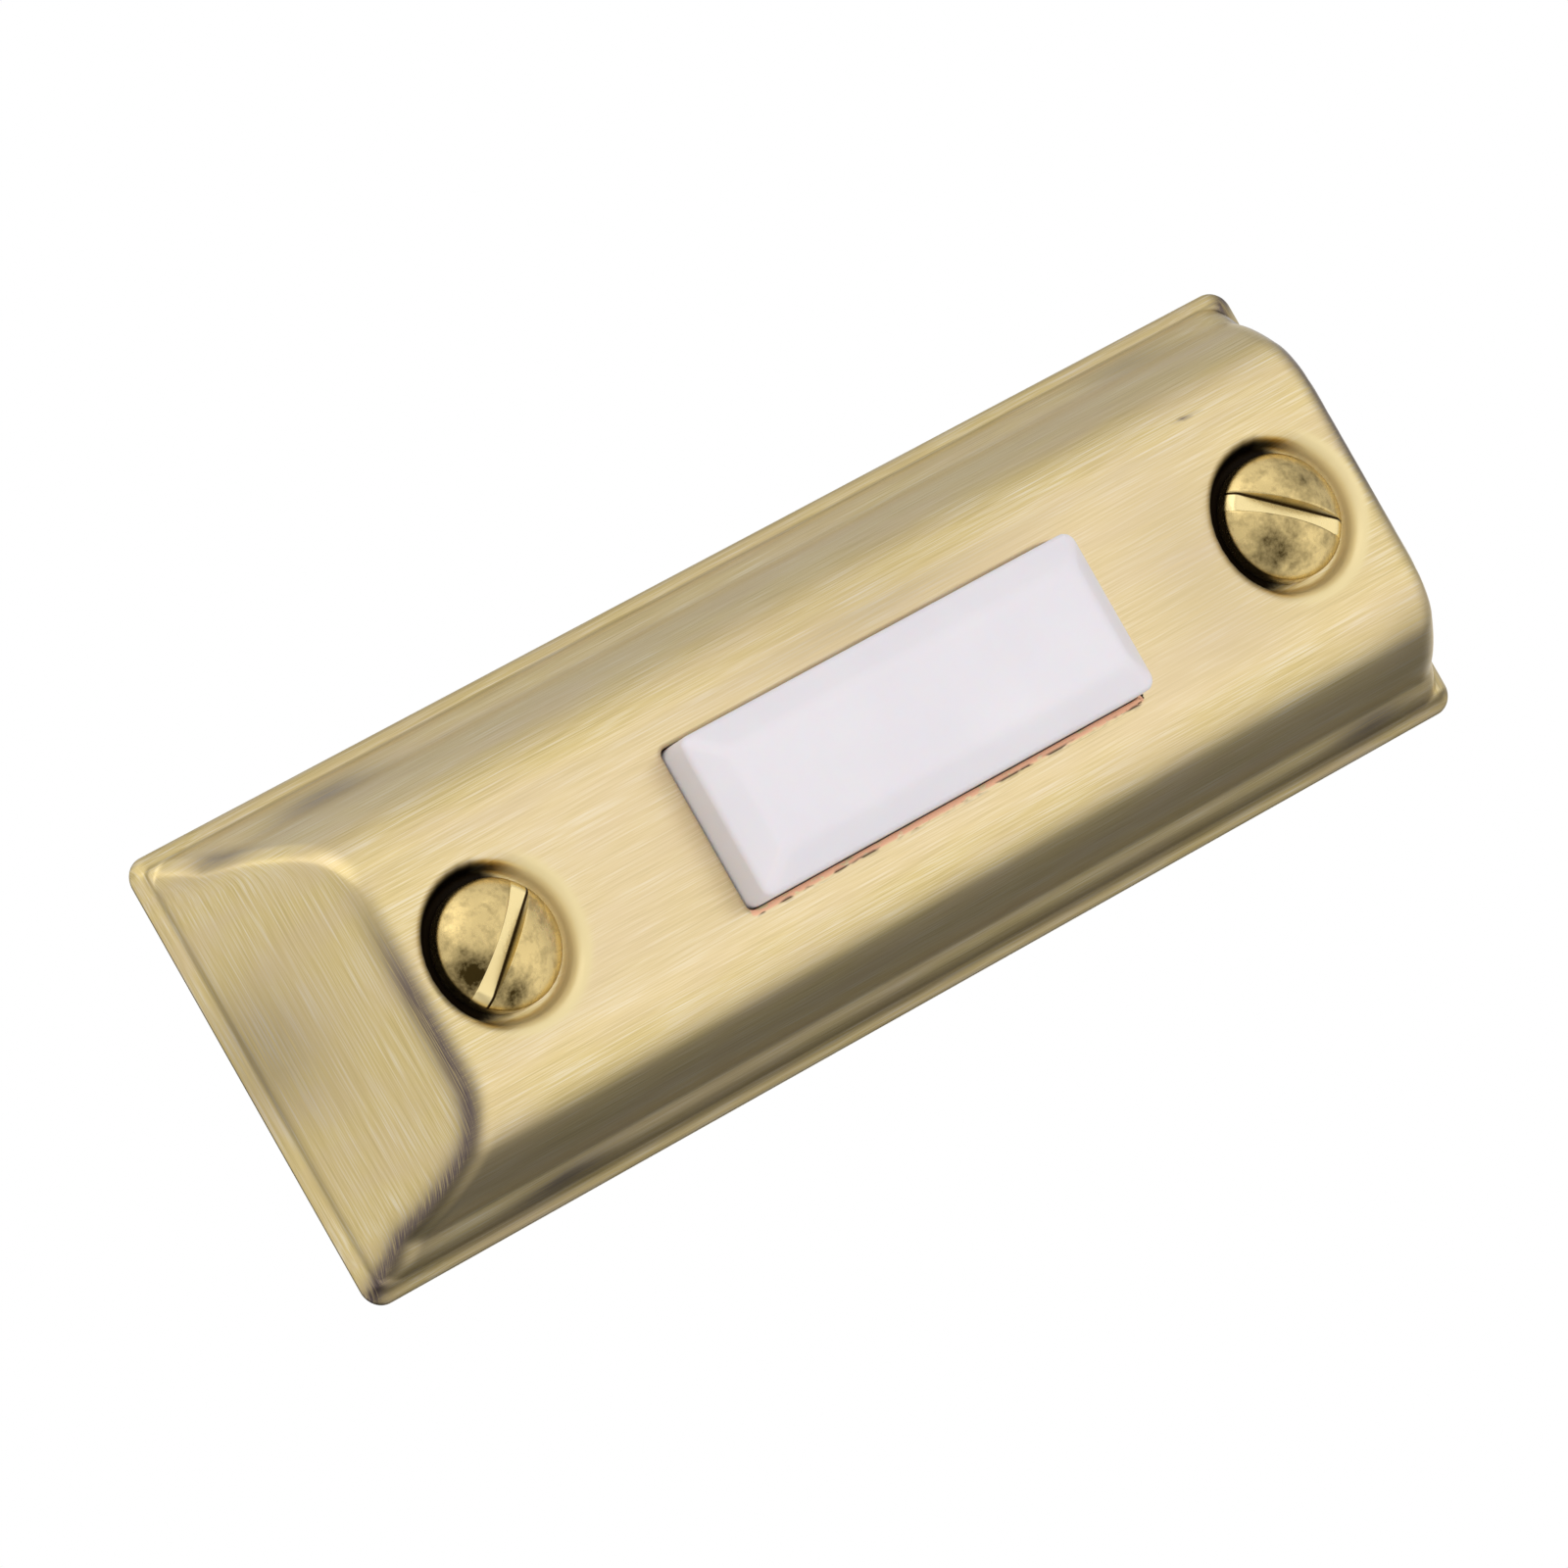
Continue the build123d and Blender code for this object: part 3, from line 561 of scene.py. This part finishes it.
def outward(points, faces):
    """The same faces, turned over if the volume that they close comes out negative."""
    return faces if volume_of(points, faces) > 0 else [f[::-1] for f in faces]


def thread_radius(core, crest, pitch, z, left=0.32):
    """Radius of a screw thread at height z as a function of the angle: with f the fraction of
    a turn, core + (crest - core) * max(0, 1 - |f - 0.5| / left), a sharp ridge on a plain core."""
    def radius(angle):
        f = np.mod(z / pitch + angle / (2 * np.pi), 1.0)
        return core + (crest - core) * np.clip(1 - np.abs(f - 0.5) / left, 0, 1)
    return radius


def plain(radius):
    return lambda angle: np.full_like(angle, radius)


HEAD_R, HEAD_RIM, HEAD_TOP, SLOT_WIDTH, SLOT_DEPTH = 3.4, 0.9, 2.35, 1.02, 1.0
NECK, CREST, CORE, PITCH, SCREW_TIP = 1.85, 1.75, 1.2, 1.41, WELL_FLOOR - 25.4
below = np.arange(-0.02, SCREW_TIP + 0.2, -0.1)
point_share = np.clip((below - SCREW_TIP) / 4.0, 0.02, 1)
ridges = (CREST - CORE) * np.minimum(1, 1.6 * point_share) * np.minimum(1, 0.1 - below / 0.7)
threads = [(thread_radius(CORE * k, CORE * k + ridge, PITCH, z), z)
           for z, k, ridge in zip(below, point_share, ridges)]
wood_rings = [(plain(r), z) for r, z in (
    (HEAD_R, WELL_FLOOR + 0.5), (HEAD_R, WELL_FLOOR + 0.1), (HEAD_R - 0.1, WELL_FLOOR),
    (NECK, WELL_FLOOR), (NECK, 0.0), (CORE, -0.01))] + threads
wood_screw, wood_faces = slotted_screw(HEAD_R, WELL_FLOOR + HEAD_RIM, WELL_FLOOR + HEAD_TOP, SLOT_WIDTH,
                                       WELL_FLOOR + HEAD_TOP - SLOT_DEPTH, wood_rings)
wood_faces = outward(wood_screw, wood_faces)
print("wood screw:", len(wood_faces), "faces,", round(volume_of(wood_screw, wood_faces), 1), "mm3")


# %% [markdown]
# The screws are bare brass, turned and tumbled, yellower and shinier than the plate. Years
# of weather leave stains, which are blotches under 1 mm across that dull the shine. Listed
# spots on each head add a painted dark reflection and shade to the stains.

# %% The turned brass finish, and the two screws
def turned_brass(name, bright, stain_and_reflection_colour, roughness):
    """Stains are noise at about 0.7 mm, thick where the field says, and the field's spots are also
    a painted dark reflection; tumbling marks are noise at 0.2 mm in the bump. The slot's floor is
    bright from the saw, with a painted shadow beside one wall."""
    material, tree, shader = finish_of(name)
    place = add(tree, "TexCoord").outputs["Object"]
    mark, sawn, shadow = (add(tree, "Attribute", attribute_name=field).outputs["Fac"]
                          for field in ("stain_and_reflection", "sawn", "shadow"))
    coarse = {"Vector": place, "Scale": 1500.0, "Detail": 5.0, "Roughness": 0.65}
    blotch = add(tree, "TexNoise", coarse).outputs["Fac"]
    stain_and_reflection = add(tree, "Math", {0: mark, 1: 0.42, 2: blotch}, operation="MULTIPLY_ADD").outputs[0]
    stain_and_reflection = add(tree, "MapRange", {"Value": stain_and_reflection, "From Min": 0.48, "From Max": 1.05}).outputs[0]
    shade = colour(bright)
    for share, over in ((stain_and_reflection, stain_and_reflection_colour), (sawn, "#efdca4"), (shadow, "#2c1f0c")):
        shade = add(tree, "Mix", {0: share, 6: shade, 7: colour(over)}, data_type="RGBA").outputs[2]
    limits = {"Value": stain_and_reflection, "To Min": roughness, "To Max": roughness + 0.16}
    dull = add(tree, "MapRange", limits).outputs[0]
    grain = add(tree, "TexNoise", {"Vector": place, "Scale": 5000.0, "Detail": 3.0}).outputs["Fac"]
    bump = add(tree, "Bump", {"Height": grain, "Strength": 0.3, "Distance": 0.00002})
    plug(tree, shader, {"Base Color": shade, "Roughness": dull, "Metallic": 1.0,
                        "Normal": bump.outputs["Normal"]})
    return material


yellow_brass = turned_brass("yellow_brass_turned", "#dac389", "#3d3116", 0.26)
# Spots per head, as (middle, reach, depth): stain with a painted dark reflection and shade, darker to one
# side of each head.
stains_and_reflections = {"bottom": (((0.7, -2.4), 1.2, 1.5), ((2.5, -0.9), 0.9, 1.1), ((-1.6, 1.8), 1.0, 0.3)),
          "top": (((1.3, -1.6), 1.4, 1.0), ((-1.3, 1.7), 1.5, 0.5), ((2.2, 1.4), 1.0, 0.3))}
for name, side, degrees in (("top", 1, -38.5), ("bottom", -1, 40.0)):
    a = np.radians(degrees)
    placed = wood_screw.copy()
    placed[:, 0] = wood_screw[:, 0] * np.cos(a) - wood_screw[:, 1] * np.sin(a)
    placed[:, 1] = wood_screw[:, 0] * np.sin(a) + wood_screw[:, 1] * np.cos(a) + side * WELL_S
    screw = make_piece("wood_screw_" + name, placed, wood_faces, "housing", ["mounting_screw_" + name],
                       yellow_brass)
    floor = (np.abs(wood_screw[:, 0]) < SLOT_WIDTH / 2 - 0.006) & (wood_screw[:, 2] > WELL_FLOOR + 0.6)
    near_wall = -side * wood_screw[:, 0] > SLOT_WIDTH / 2 - 0.15
    give_attribute(screw, "sawn", floor)
    give_attribute(screw, "shadow", floor & near_wall)
    from_axis = placed[:, 1] - side * WELL_S
    give_attribute(screw, "stain_and_reflection", sum(depth * spot(placed[:, 0], from_axis, at, reach, reach)
                                       for at, reach, depth in stains_and_reflections[name]))

# %% [markdown]
# ## The push bar
#
# A hollow bar of white plastic that passes the lamp's light. It is moulded, so its edges are
# soft: a tool cut in a mould has no sharp inside corner. Each level of it is a rounded
# rectangle, so the bar is a stack of such rings, from the middle of its roof down its bevels
# and sides, round the foot, and up the hollow inside.

# %% Stacks of rings
def rounded_ring(half_x, half_s, corner, straight_x=8, straight_s=24, arc=9):
    """A rounded rectangle, anticlockwise: straight runs and quarter circles, evenly divided."""
    corner = max(min(corner, half_x, half_s), 1e-3)
    a = np.linspace(0, np.pi / 2, arc)
    quarter = np.column_stack([half_x - corner + corner * np.cos(a), half_s - corner + corner * np.sin(a)])
    run_x = np.linspace(half_x - corner, corner - half_x, straight_x + 2)[1:-1]
    run_s = np.linspace(half_s - corner, corner - half_s, straight_s + 2)[1:-1]
    top = np.column_stack([run_x, np.full(straight_x, half_s)])
    left = np.column_stack([np.full(straight_s, -half_x), run_s])
    quarter_2 = quarter[::-1] * [-1, 1]
    return np.concatenate([quarter, top, quarter_2, left, -quarter, -top, -quarter_2, -left])


def at_height(ring, h):
    """The (x, s) rows of a ring with h beside them."""
    return np.column_stack([ring, np.full(len(ring), h)])


def closed_stack(rings):
    """Rings of n points, the first and last closed by a fan to their middle."""
    rings = np.asarray(rings)
    count, n = rings.shape[:2]
    points = np.concatenate([rings.reshape(-1, 3), rings[:1].mean(1), rings[-1:].mean(1)])
    k = (np.arange(n) + 1) % n
    first = np.column_stack([k, np.arange(n), np.full(n, count * n)])
    top_row = (count - 1) * n
    last = np.column_stack([np.arange(n) + top_row, k + top_row, np.full(n, count * n + 1)])
    faces = grid_faces(count, n, wrap=True).tolist() + first.tolist() + last.tolist()
    return points, outward(points, faces)


def lathe(profile, centre, sides=28):
    """Rows of (radius, h) turned round the h axis at centre."""
    a = np.linspace(0, 2 * np.pi, sides, endpoint=False)
    circle = np.column_stack([np.cos(a), np.sin(a)])
    return closed_stack([at_height(r * circle + centre, h) for r, h in profile])


def block(low, high, corner=0.1):
    """A box with rounded upright corners and a small break on its top and bottom edges."""
    middle, half = (np.array(low) + high) / 2, (np.array(high) - low) / 2
    levels = [(corner, low[2]), (0, low[2] + corner), (0, high[2] - corner), (corner, high[2])]
    return closed_stack([at_height(rounded_ring(half[0] - i, half[1] - i, corner, 2, 2, 4) + middle[:2], h)
                         for i, h in levels])


def joined(*parts):
    """Several closed solids in one mesh."""
    points, faces = [], []
    for part_points, part_faces in parts:
        faces += [[i + sum(map(len, points)) for i in f] for f in part_faces]
        points.append(part_points)
    return np.concatenate(points), faces


def bend(a, b, c, steps=7):
    """A soft corner at b: the quadratic curve (1-t)^2 a + 2t(1-t) b + t^2 c."""
    t = np.linspace(0, 1, steps)[:, None]
    return (1 - t)**2 * np.array(a) + 2 * t * (1 - t) * np.array(b) + t**2 * np.array(c)


# %% The bar's outer form
BAR_X, BAR_S, BAR_TOP, BAR_BEVEL, BAR_FOOT = 4.55, 12.9, 15.0, 1.3, 8.0
BEVEL_X, BEVEL_S, BAR_WALL, BAR_CEILING = 1.7, 1.55, 1.2, 13.4
shoulder_h = BAR_TOP - BAR_BEVEL
outer_profile = np.concatenate([
    bend((1.30, BAR_TOP), (1.0, BAR_TOP), (0.76, BAR_TOP - BAR_BEVEL * 0.24)),
    [(0.5, BAR_TOP - BAR_BEVEL * 0.5)],
    bend((0.16, shoulder_h + BAR_BEVEL * 0.16), (0.0, shoulder_h), (0.0, shoulder_h - 0.32)),
    [(0.0, 11.0), (0.0, BAR_FOOT + 0.1), (0.06, BAR_FOOT)]])
bar_rings = [at_height(rounded_ring(0.6 * k, 8.0 * k + 1.2, 0.4 * k), BAR_TOP) for k in (0.2, 1.0)]
for f, h in outer_profile:
    bar_rings.append(at_height(rounded_ring(BAR_X - BEVEL_X * f, BAR_S - BEVEL_S * f, 0.6), h))
for inset, h in ((BAR_WALL, BAR_FOOT), (BAR_WALL, BAR_CEILING - 0.15),
                 (BAR_WALL + 0.15, BAR_CEILING), (2.4, BAR_CEILING)):
    bar_rings.append(at_height(rounded_ring(BAR_X - inset, BAR_S - inset, 0.25), h))
print("bar profile:", len(bar_rings), "rings of", len(bar_rings[0]))

# %% [markdown]
# Inside, the bar carries what makes it work: a lug at each end that stops it under the plate,
# a seat with a spigot for each spring, and two ribs with stakes that hold the bridge.

# %% The bar with its lugs, ribs, stakes and spring seats
BRIDGE, BRIDGE_THICK, SEAT, SPRING_S, STAKE_S, LUG_TOP = 7.4, 0.3, 9.4, 9.6, 6.8, 10.9
inside_parts = []
for side in (-1, 1):
    lug_low, lug_high = sorted((side * 12.35, side * 14.3))
    inside_parts += [
        block((-3.6, lug_low, LUG_TOP - 1.0), (3.6, lug_high, LUG_TOP)),
        block((-3.9, side * STAKE_S - 0.5, BRIDGE + BRIDGE_THICK),
              (3.9, side * STAKE_S + 0.5, BAR_CEILING + 0.1)),
        lathe([(0.5, BRIDGE - 0.4), (0.85, BRIDGE - 0.28), (0.9, BRIDGE - 0.2), (0.86, BRIDGE - 0.02),
               (0.6, BRIDGE), (0.6, BRIDGE + BRIDGE_THICK + 0.1)], (0, side * STAKE_S)),
        lathe([(0.8, SEAT - 0.8), (1.1, SEAT - 0.5), (1.1, SEAT), (1.9, SEAT), (1.9, BAR_CEILING + 0.1)],
              (0, side * SPRING_S)),
    ]
bar_points, bar_faces = joined(closed_stack(bar_rings), *inside_parts)
print("bar:", len(bar_faces), "faces; top", bar_points[:, 2].max())


# %% [markdown]
# The plastic is an opal ABS, moulded with a faint eggshell from the tool. Light goes a little
# way in and comes out again, which is what makes its shaded bevels milky and never hard. The
# eggshell is a grain of 0.15 mm in the bump.

# %% Two close shades and a grain, and the opal plastic
def mottled(name, shades, pattern, rough, grain, own, stretch=(1, 1, 1)):
    """Two close shades mixed by noise. pattern is the noise's scale per metre, detail and
    distortion. rough, or None, is the roughness at its two ends. grain, or None, is the finer
    noise of the bump: scale, detail, strength and depth. own holds the shader's other inputs."""
    material, tree, shader = finish_of(name)
    place = add(tree, "TexCoord").outputs["Object"]
    place = add(tree, "VectorMath", {0: place, 1: stretch}, operation="MULTIPLY").outputs[0]
    noise = {"Vector": place, "Scale": pattern[0], "Detail": pattern[1], "Distortion": pattern[2]}
    cloud = add(tree, "TexNoise", noise).outputs["Fac"]
    both_ends = {0: cloud, 6: colour(shades[0]), 7: colour(shades[1])}
    plug(tree, shader, {"Base Color": add(tree, "Mix", both_ends, data_type="RGBA").outputs[2], **own})
    if rough:
        limits = {"Value": cloud, "To Min": rough[0], "To Max": rough[1]}
        plug(tree, shader, {"Roughness": add(tree, "MapRange", limits).outputs[0]})
    if grain:
        fine = add(tree, "TexNoise", {"Vector": place, "Scale": grain[0], "Detail": grain[1]})
        height = {"Height": fine.outputs["Fac"], "Strength": grain[2], "Distance": grain[3]}
        bump = add(tree, "Bump", height)
        plug(tree, shader, {"Normal": bump.outputs["Normal"]})
    return material


opal_plastic = mottled("opal_abs_moulded", ("#d5d2dc", "#dfdde4"), (180.0, 3.0, 0.0), None,
                       (6500.0, 2.0, 0.08, 0.00001),
                       {"Roughness": 0.36, "IOR": 1.5, "Subsurface Weight": 0.25,
                        "Subsurface Scale": 0.0012})
make_piece("push_bar_moulded", bar_points, bar_faces, "button", ["push_bar"],
           opal_plastic)

# %% [markdown]
# ## Springs and terminal screws
#
# Each spring is round wire wound on a mandrel, its end turns lying flat. The wire's middle
# runs on a helix, and a small circle is carried along it, square to the way it goes.

# %% The return springs
def wound_spring(coil, wire, low, high, turns, per_turn=30, sides=10):
    """Middle line (r cos t, r sin t, z(t)); z climbs one wire a turn in the end turns, and
    evenly between. Circle: middle + wire/2 (cos w * outward + sin w * upright)."""
    t = np.linspace(0, turns, int(turns * per_turn))
    heights = [low + wire / 2, low + 1.4 * wire, high - 1.4 * wire, high - wire / 2]
    z = np.interp(t, [0, 0.9, turns - 0.9, turns], heights)
    a, w = 2 * np.pi * t, np.linspace(0, 2 * np.pi, sides, endpoint=False)
    out = np.column_stack([np.cos(a), np.sin(a), a * 0])
    middle = out * coil + np.column_stack([a * 0, a * 0, z])
    ways = np.gradient(middle, axis=0)
    ways /= np.linalg.norm(ways, axis=1, keepdims=True)
    upright = np.cross(ways, out)
    circle = np.cos(w)[:, None] * out[:, None, :] + np.sin(w)[:, None] * upright[:, None, :]
    return middle[:, None, :] + wire / 2 * circle


def bare_metal(name, shades, roughness, scale, stretch=(1, 1, 1)):
    """A plain metal: noise at a stated scale moves its shade and its roughness together."""
    return mottled(name, shades, (scale, 4.0, 0.0), (roughness - 0.06, roughness + 0.1),
                   (scale, 4.0, 0.1, 0.00001), {"Metallic": 1.0}, stretch)


FLOOR, SPRING_LENGTH, TRAVEL = 4.4, 5.0, 1.4
spring_steel = bare_metal("spring_steel_drawn", ("#b9bab8", "#8f908e"), 0.3, 2500.0)
for name, side in (("top", 1), ("bottom", -1)):
    rings = wound_spring(1.55, 0.4, FLOOR, FLOOR + SPRING_LENGTH, 4.5)
    points, faces = closed_stack(rings)
    points = points * [side, side, 1] + [0, side * SPRING_S, 0]
    spring = make_piece("spring_" + name, points, faces, "housing", ["return_spring_" + name],
                        spring_steel)
    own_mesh(spring)
print("spring:", len(faces), "faces")

# %% [markdown]
# The wires of a bell line are held at the back, under a square washer, by a nickel plated
# screw with a cheese head. It is the same slotted screw with other numbers.

# %% The terminal screws
CLAMP_BACK, TERMINAL_S, HEAD_HIGH, CHEESE_R = 2.2, 18.4, 1.6, 2.3
nickel = bare_metal("nickel_plated_steel", ("#c9c6bd", "#aaa59a"), 0.26, 1500.0)
down = np.arange(-0.1, -5.7, -0.08)
machine = [(thread_radius(1.22, 1.5, 0.5, z, 0.45), z) for z in down] + [(plain(1.1), -5.95)]
screw_rings = [(plain(r), z) for r, z in (
    (CHEESE_R, 1.15), (CHEESE_R, 0.06), (CHEESE_R - 0.06, 0.0), (1.22, 0.0))] + machine
cheese_screw, cheese_faces = slotted_screw(CHEESE_R, 1.25, HEAD_HIGH, 0.8, 0.8, screw_rings, power=0.4)
for name, side in (("top", 1), ("bottom", -1)):
    points = cheese_screw * [side, side, -1] + [0, side * TERMINAL_S, CLAMP_BACK]
    make_piece("cheese_head_screw_" + name, points, outward(points, cheese_faces), "housing",
               ["terminal_screw_" + name], nickel)

# %% [markdown]
# ## Finishes for the pieces that stay as the CAD has them
#
# The base, the contact parts and the lamp are flat strip, pins and moulded blocks, and their
# CAD shapes are right, so each only gets its finish.
#
# The base is a compression moulded thermoset: almost black brown, with a satin skin, and flow
# mottling about 2 mm across that the eye reads as depth, over a grain of 0.2 mm. The lens is
# cast epoxy, faintly straw and clear enough to see into, and swirls at 0.5 mm move its gloss.

# %% The moulded base and the lamp's lens
phenolic = mottled("phenolic_moulded", ("#15110e", "#2b241f"), (450.0, 6.0, 0.6), (0.34, 0.52),
                   (5000.0, 3.0, 0.2, 0.00002), {})
lamp_epoxy = mottled("lamp_epoxy_cast", ("#efe9d2", "#f7f3e4"), (2000.0, 2.0, 0.0), (0.06, 0.14),
                     None, {"IOR": 1.52, "Transmission Weight": 0.75})


# %% The resistor's coat
def dipped_coat():
    """Dipped tan lacquer with four rings of paint round it, 0.35 mm wide, as the value is told."""
    material, tree, shader = finish_of("resistor_lacquer_dipped")
    place = add(tree, "TexCoord").outputs["Object"]
    height = add(tree, "SeparateXYZ", {0: place}).outputs["Z"]
    share = add(tree, "MapRange", {"Value": height, "From Min": -0.0006, "From Max": 0.0030}).outputs[0]
    ramp = add(tree, "ValToRGB", {"Fac": share})
    ramp.color_ramp.interpolation = "CONSTANT"
    tan = "#c9ad7d"
    marks = ((0.0, tan), (0.16, "#a02a22"), (0.26, tan), (0.36, "#5b2d90"), (0.46, tan),
             (0.56, "#6b4423"), (0.66, tan), (0.82, "#b8963a"), (0.91, tan))
    for where, shade in marks:
        stop = ramp.color_ramp.elements.new(where)
        stop.color = colour(shade)
    drip = add(tree, "TexNoise", {"Vector": place, "Scale": 1800.0, "Detail": 2.0}).outputs["Fac"]
    bump = add(tree, "Bump", {"Height": drip, "Strength": 0.2, "Distance": 0.00003})
    plug(tree, shader, {"Base Color": ramp.outputs["Color"], "Roughness": 0.3,
                        "Normal": bump.outputs["Normal"]})
    return material


# %% Hand each CAD piece its finish
bronze = bare_metal("phosphor_bronze_rolled", ("#c58f5c", "#a87443"), 0.27, 700.0, (8, 8, 0.5))
contact_brass = bare_metal("contact_brass_riveted", ("#c9a85a", "#a3843f"), 0.28, 1600.0)
tinned = bare_metal("copper_wire_tinned", ("#d3d2cf", "#a9a8a4"), 0.24, 3000.0)
finishes = {
    "contact_base": phenolic, "contact_bridge": bronze,
    "contact_rivet_top": contact_brass, "contact_rivet_bottom": contact_brass,
    "terminal_plate_top": contact_brass, "terminal_plate_bottom": contact_brass,
    "wire_clamp_top": nickel, "wire_clamp_bottom": nickel,
    "led_lens": lamp_epoxy, "led_leads": tinned, "resistor_leads": tinned, "resistor_body": dipped_coat(),
}
for name, finish in finishes.items():
    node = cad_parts[name]
    node.data.materials.clear()
    node.data.materials.append(finish)
left = [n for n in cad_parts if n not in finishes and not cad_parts[n].hide_render]
print("CAD pieces without a finish:", left)

# %% [markdown]
# ## The studio
#
# The photograph is a cut-out on white, lit by a large soft box above and in front, with a
# pale table behind and below, and a dark side to the right that gives the metal its form.
# Polished metal shows only what it mirrors, so the world is a soft picture of that room:
# pools of light in given directions. A matt surface averages over the whole room, so it gets
# a faint copy of the pools over an even light. To the camera the world is plain white.

# %% The room as the metal sees it
world = bpy.data.worlds.new("studio")
bpy.context.scene.world = world
world.use_nodes = True
room = world.node_tree
room.nodes.clear()
way = add(room, "TexCoord").outputs["Generated"]


def pool(towards, edge, core, strength, sofar):
    """Light from one direction: the cosine to it, eased from edge to core degrees, times strength."""
    axis = tuple(Vector(towards).normalized())
    cosine = add(room, "VectorMath", {0: way, 1: axis}, operation="DOT_PRODUCT").outputs["Value"]
    limits = {"Value": cosine, "From Min": float(np.cos(np.radians(edge))),
              "From Max": float(np.cos(np.radians(core)))}
    eased = add(room, "MapRange", limits, interpolation_type="SMOOTHSTEP").outputs[0]
    return add(room, "Math", {0: eased, 1: strength, 2: sofar}, operation="MULTIPLY_ADD").outputs[0]


light = 0.05
for towards, edge, core, strength in (
        ((0.0, -1.0, 0.2), 110, 55, 0.3), ((0.5, -0.8, 0.3), 80, 30, 0.38),
        ((-0.5, -0.8, 0.3), 80, 30, 0.33),
        ((0.9, -0.3, 0.4), 60, 20, 0.36), ((0.8, 0.3, 0.5), 45, 10, 0.06), ((-1.0, 0.0, 0.4), 60, 15, 0.09),
        ((-0.9, 0.4, -0.3), 60, 15, 0.42), ((-0.5, 0.4, -0.8), 50, 15, 0.55),
        ((-0.5, -0.45, -0.73), 32, 10, 0.95), ((0.0, 0.45, -0.89), 36, 12, 0.14),
        ((-0.5, 0.75, 0.45), 50, 10, 0.15), ((0.0, -0.3, -1.0), 60, 20, 0.2),
        ((-1.0, 0.1, 0.0), 90, 30, 0.23), ((-0.8, -0.3, -0.5), 45, 15, 0.32),
        ((-0.8, -0.58, -0.2), 30, 8, 0.3),
        ((0.0, 0.85, 0.5), 30, 10, 0.62), ((-0.03, 0.87, -0.49), 24, 6, 0.3),
        ((0.0, 0.35, 0.93), 40, 12, 0.4), ((0.35, -0.5, -0.8), 50, 15, -0.4)):
    light = pool(towards, edge, core, strength, light)
DARKEST, EVEN_SHARE, EVEN_LIGHT = 0.03, 0.25, 0.53
light = add(room, "Math", {0: light, 1: DARKEST}, operation="MAXIMUM").outputs[0]
even = add(room, "Math", {0: light, 1: EVEN_SHARE, 2: EVEN_LIGHT}, operation="MULTIPLY_ADD").outputs[0]
even = pool((0.0, -0.64, -0.77), 60, 20, 2.5, even)
even = pool((0.0, 0.3, 1.0), 70, 25, 0.36, even)
ray = add(room, "LightPath")
seen = {0: ray.outputs["Is Glossy Ray"], 2: even, 3: light}
light = add(room, "Mix", seen, data_type="FLOAT").outputs[0]
soft = add(room, "Background", {"Color": colour("#fffdf9"), "Strength": light}).outputs[0]
white = add(room, "Background", {"Color": (1, 1, 1, 1), "Strength": 1.0}).outputs[0]
both_rooms = add(room, "MixShader", {0: ray.outputs["Is Camera Ray"], 1: soft, 2: white}).outputs[0]
add(room, "OutputWorld", {"Surface": both_rooms})
print("room:", len(room.nodes), "nodes")

# %% [markdown]
# The floor is a pale disc well below the plate, out of the photograph's view, because the
# plate hangs on a wall and the camera looks up at it.

# %% Floor
turn = np.linspace(0, 2 * np.pi, 64, endpoint=False)
disc = [np.column_stack([r * np.cos(turn), r * np.sin(turn), turn * 0]) for r in (1.6, 0.8, 0.05)]
disc_points = np.concatenate(disc + [np.zeros((1, 3))]) + [0, 0, -0.95]
disc_faces = grid_faces(3, 64, wrap=True).tolist() + [[128 + j, 128 + (j + 1) % 64, 192] for j in range(64)]
floor_mesh = bpy.data.meshes.new("floor")
floor_mesh.from_pydata(disc_points.tolist(), [], disc_faces)
floor_mesh.materials.append(mottled("pale_floor_painted", ("#efefee", "#f4f4f3"), (9.0, 2.0, 0.0), None,
                                    None, {"Roughness": 0.8}))
floor = bpy.data.objects.new("floor", floor_mesh)
bpy.context.scene.collection.objects.link(floor)

# %% [markdown]
# Two faint area lights stand for the soft box, and for a small lamp that puts a spark on each
# screw. Most of the light comes from the world, which is softer than any lamp.

# %% Lights
def area_light(name, place, size, watts):
    """An oblong lamp at a place in metres, turned to shine at the plate's middle."""
    lamp = bpy.data.lights.new(name, "AREA")
    lamp.shape, lamp.size, lamp.size_y, lamp.energy = "RECTANGLE", size[0], size[1], watts
    holder = bpy.data.objects.new(name, lamp)
    holder.location = place
    holder.rotation_euler = (-Vector(place)).to_track_quat("-Z", "Y").to_euler()
    bpy.context.scene.collection.objects.link(holder)


area_light("soft_box", (-0.3, -0.8, 0.6), (0.5, 0.35), 0.06)
area_light("spark", (-0.55, -0.5, 0.35), (0.12, 0.12), 0.03)

# %% [markdown]
# ## The camera
#
# The photograph was taken with a long lens, from in front and below the plate as it hangs,
# turned so that the plate's long axis runs up to the right. Its place was worked out from
# the plate's corners, the window and the two wells.

# %% Camera at the photograph's place
camera_data = bpy.data.cameras.new("camera")
camera_data.sensor_width, camera_data.lens = 36.0, 255.41
camera_data.clip_start, camera_data.clip_end = 0.01, 20.0
camera = bpy.data.objects.new("camera", camera_data)
to_right = (0.493494, -0.413058, 0.765406)
to_top = (-0.869207, -0.265292, 0.417252)
to_back = (0.030707, -0.871208, -0.489953)
aimed = Matrix((to_right, to_top, to_back)).transposed().to_4x4()
camera.matrix_world = Matrix.Translation((0.016896, -0.496243, -0.280282)) @ aimed
bpy.context.scene.collection.objects.link(camera)
bpy.context.scene.camera = camera
bpy.context.scene.view_settings.view_transform = "Standard"
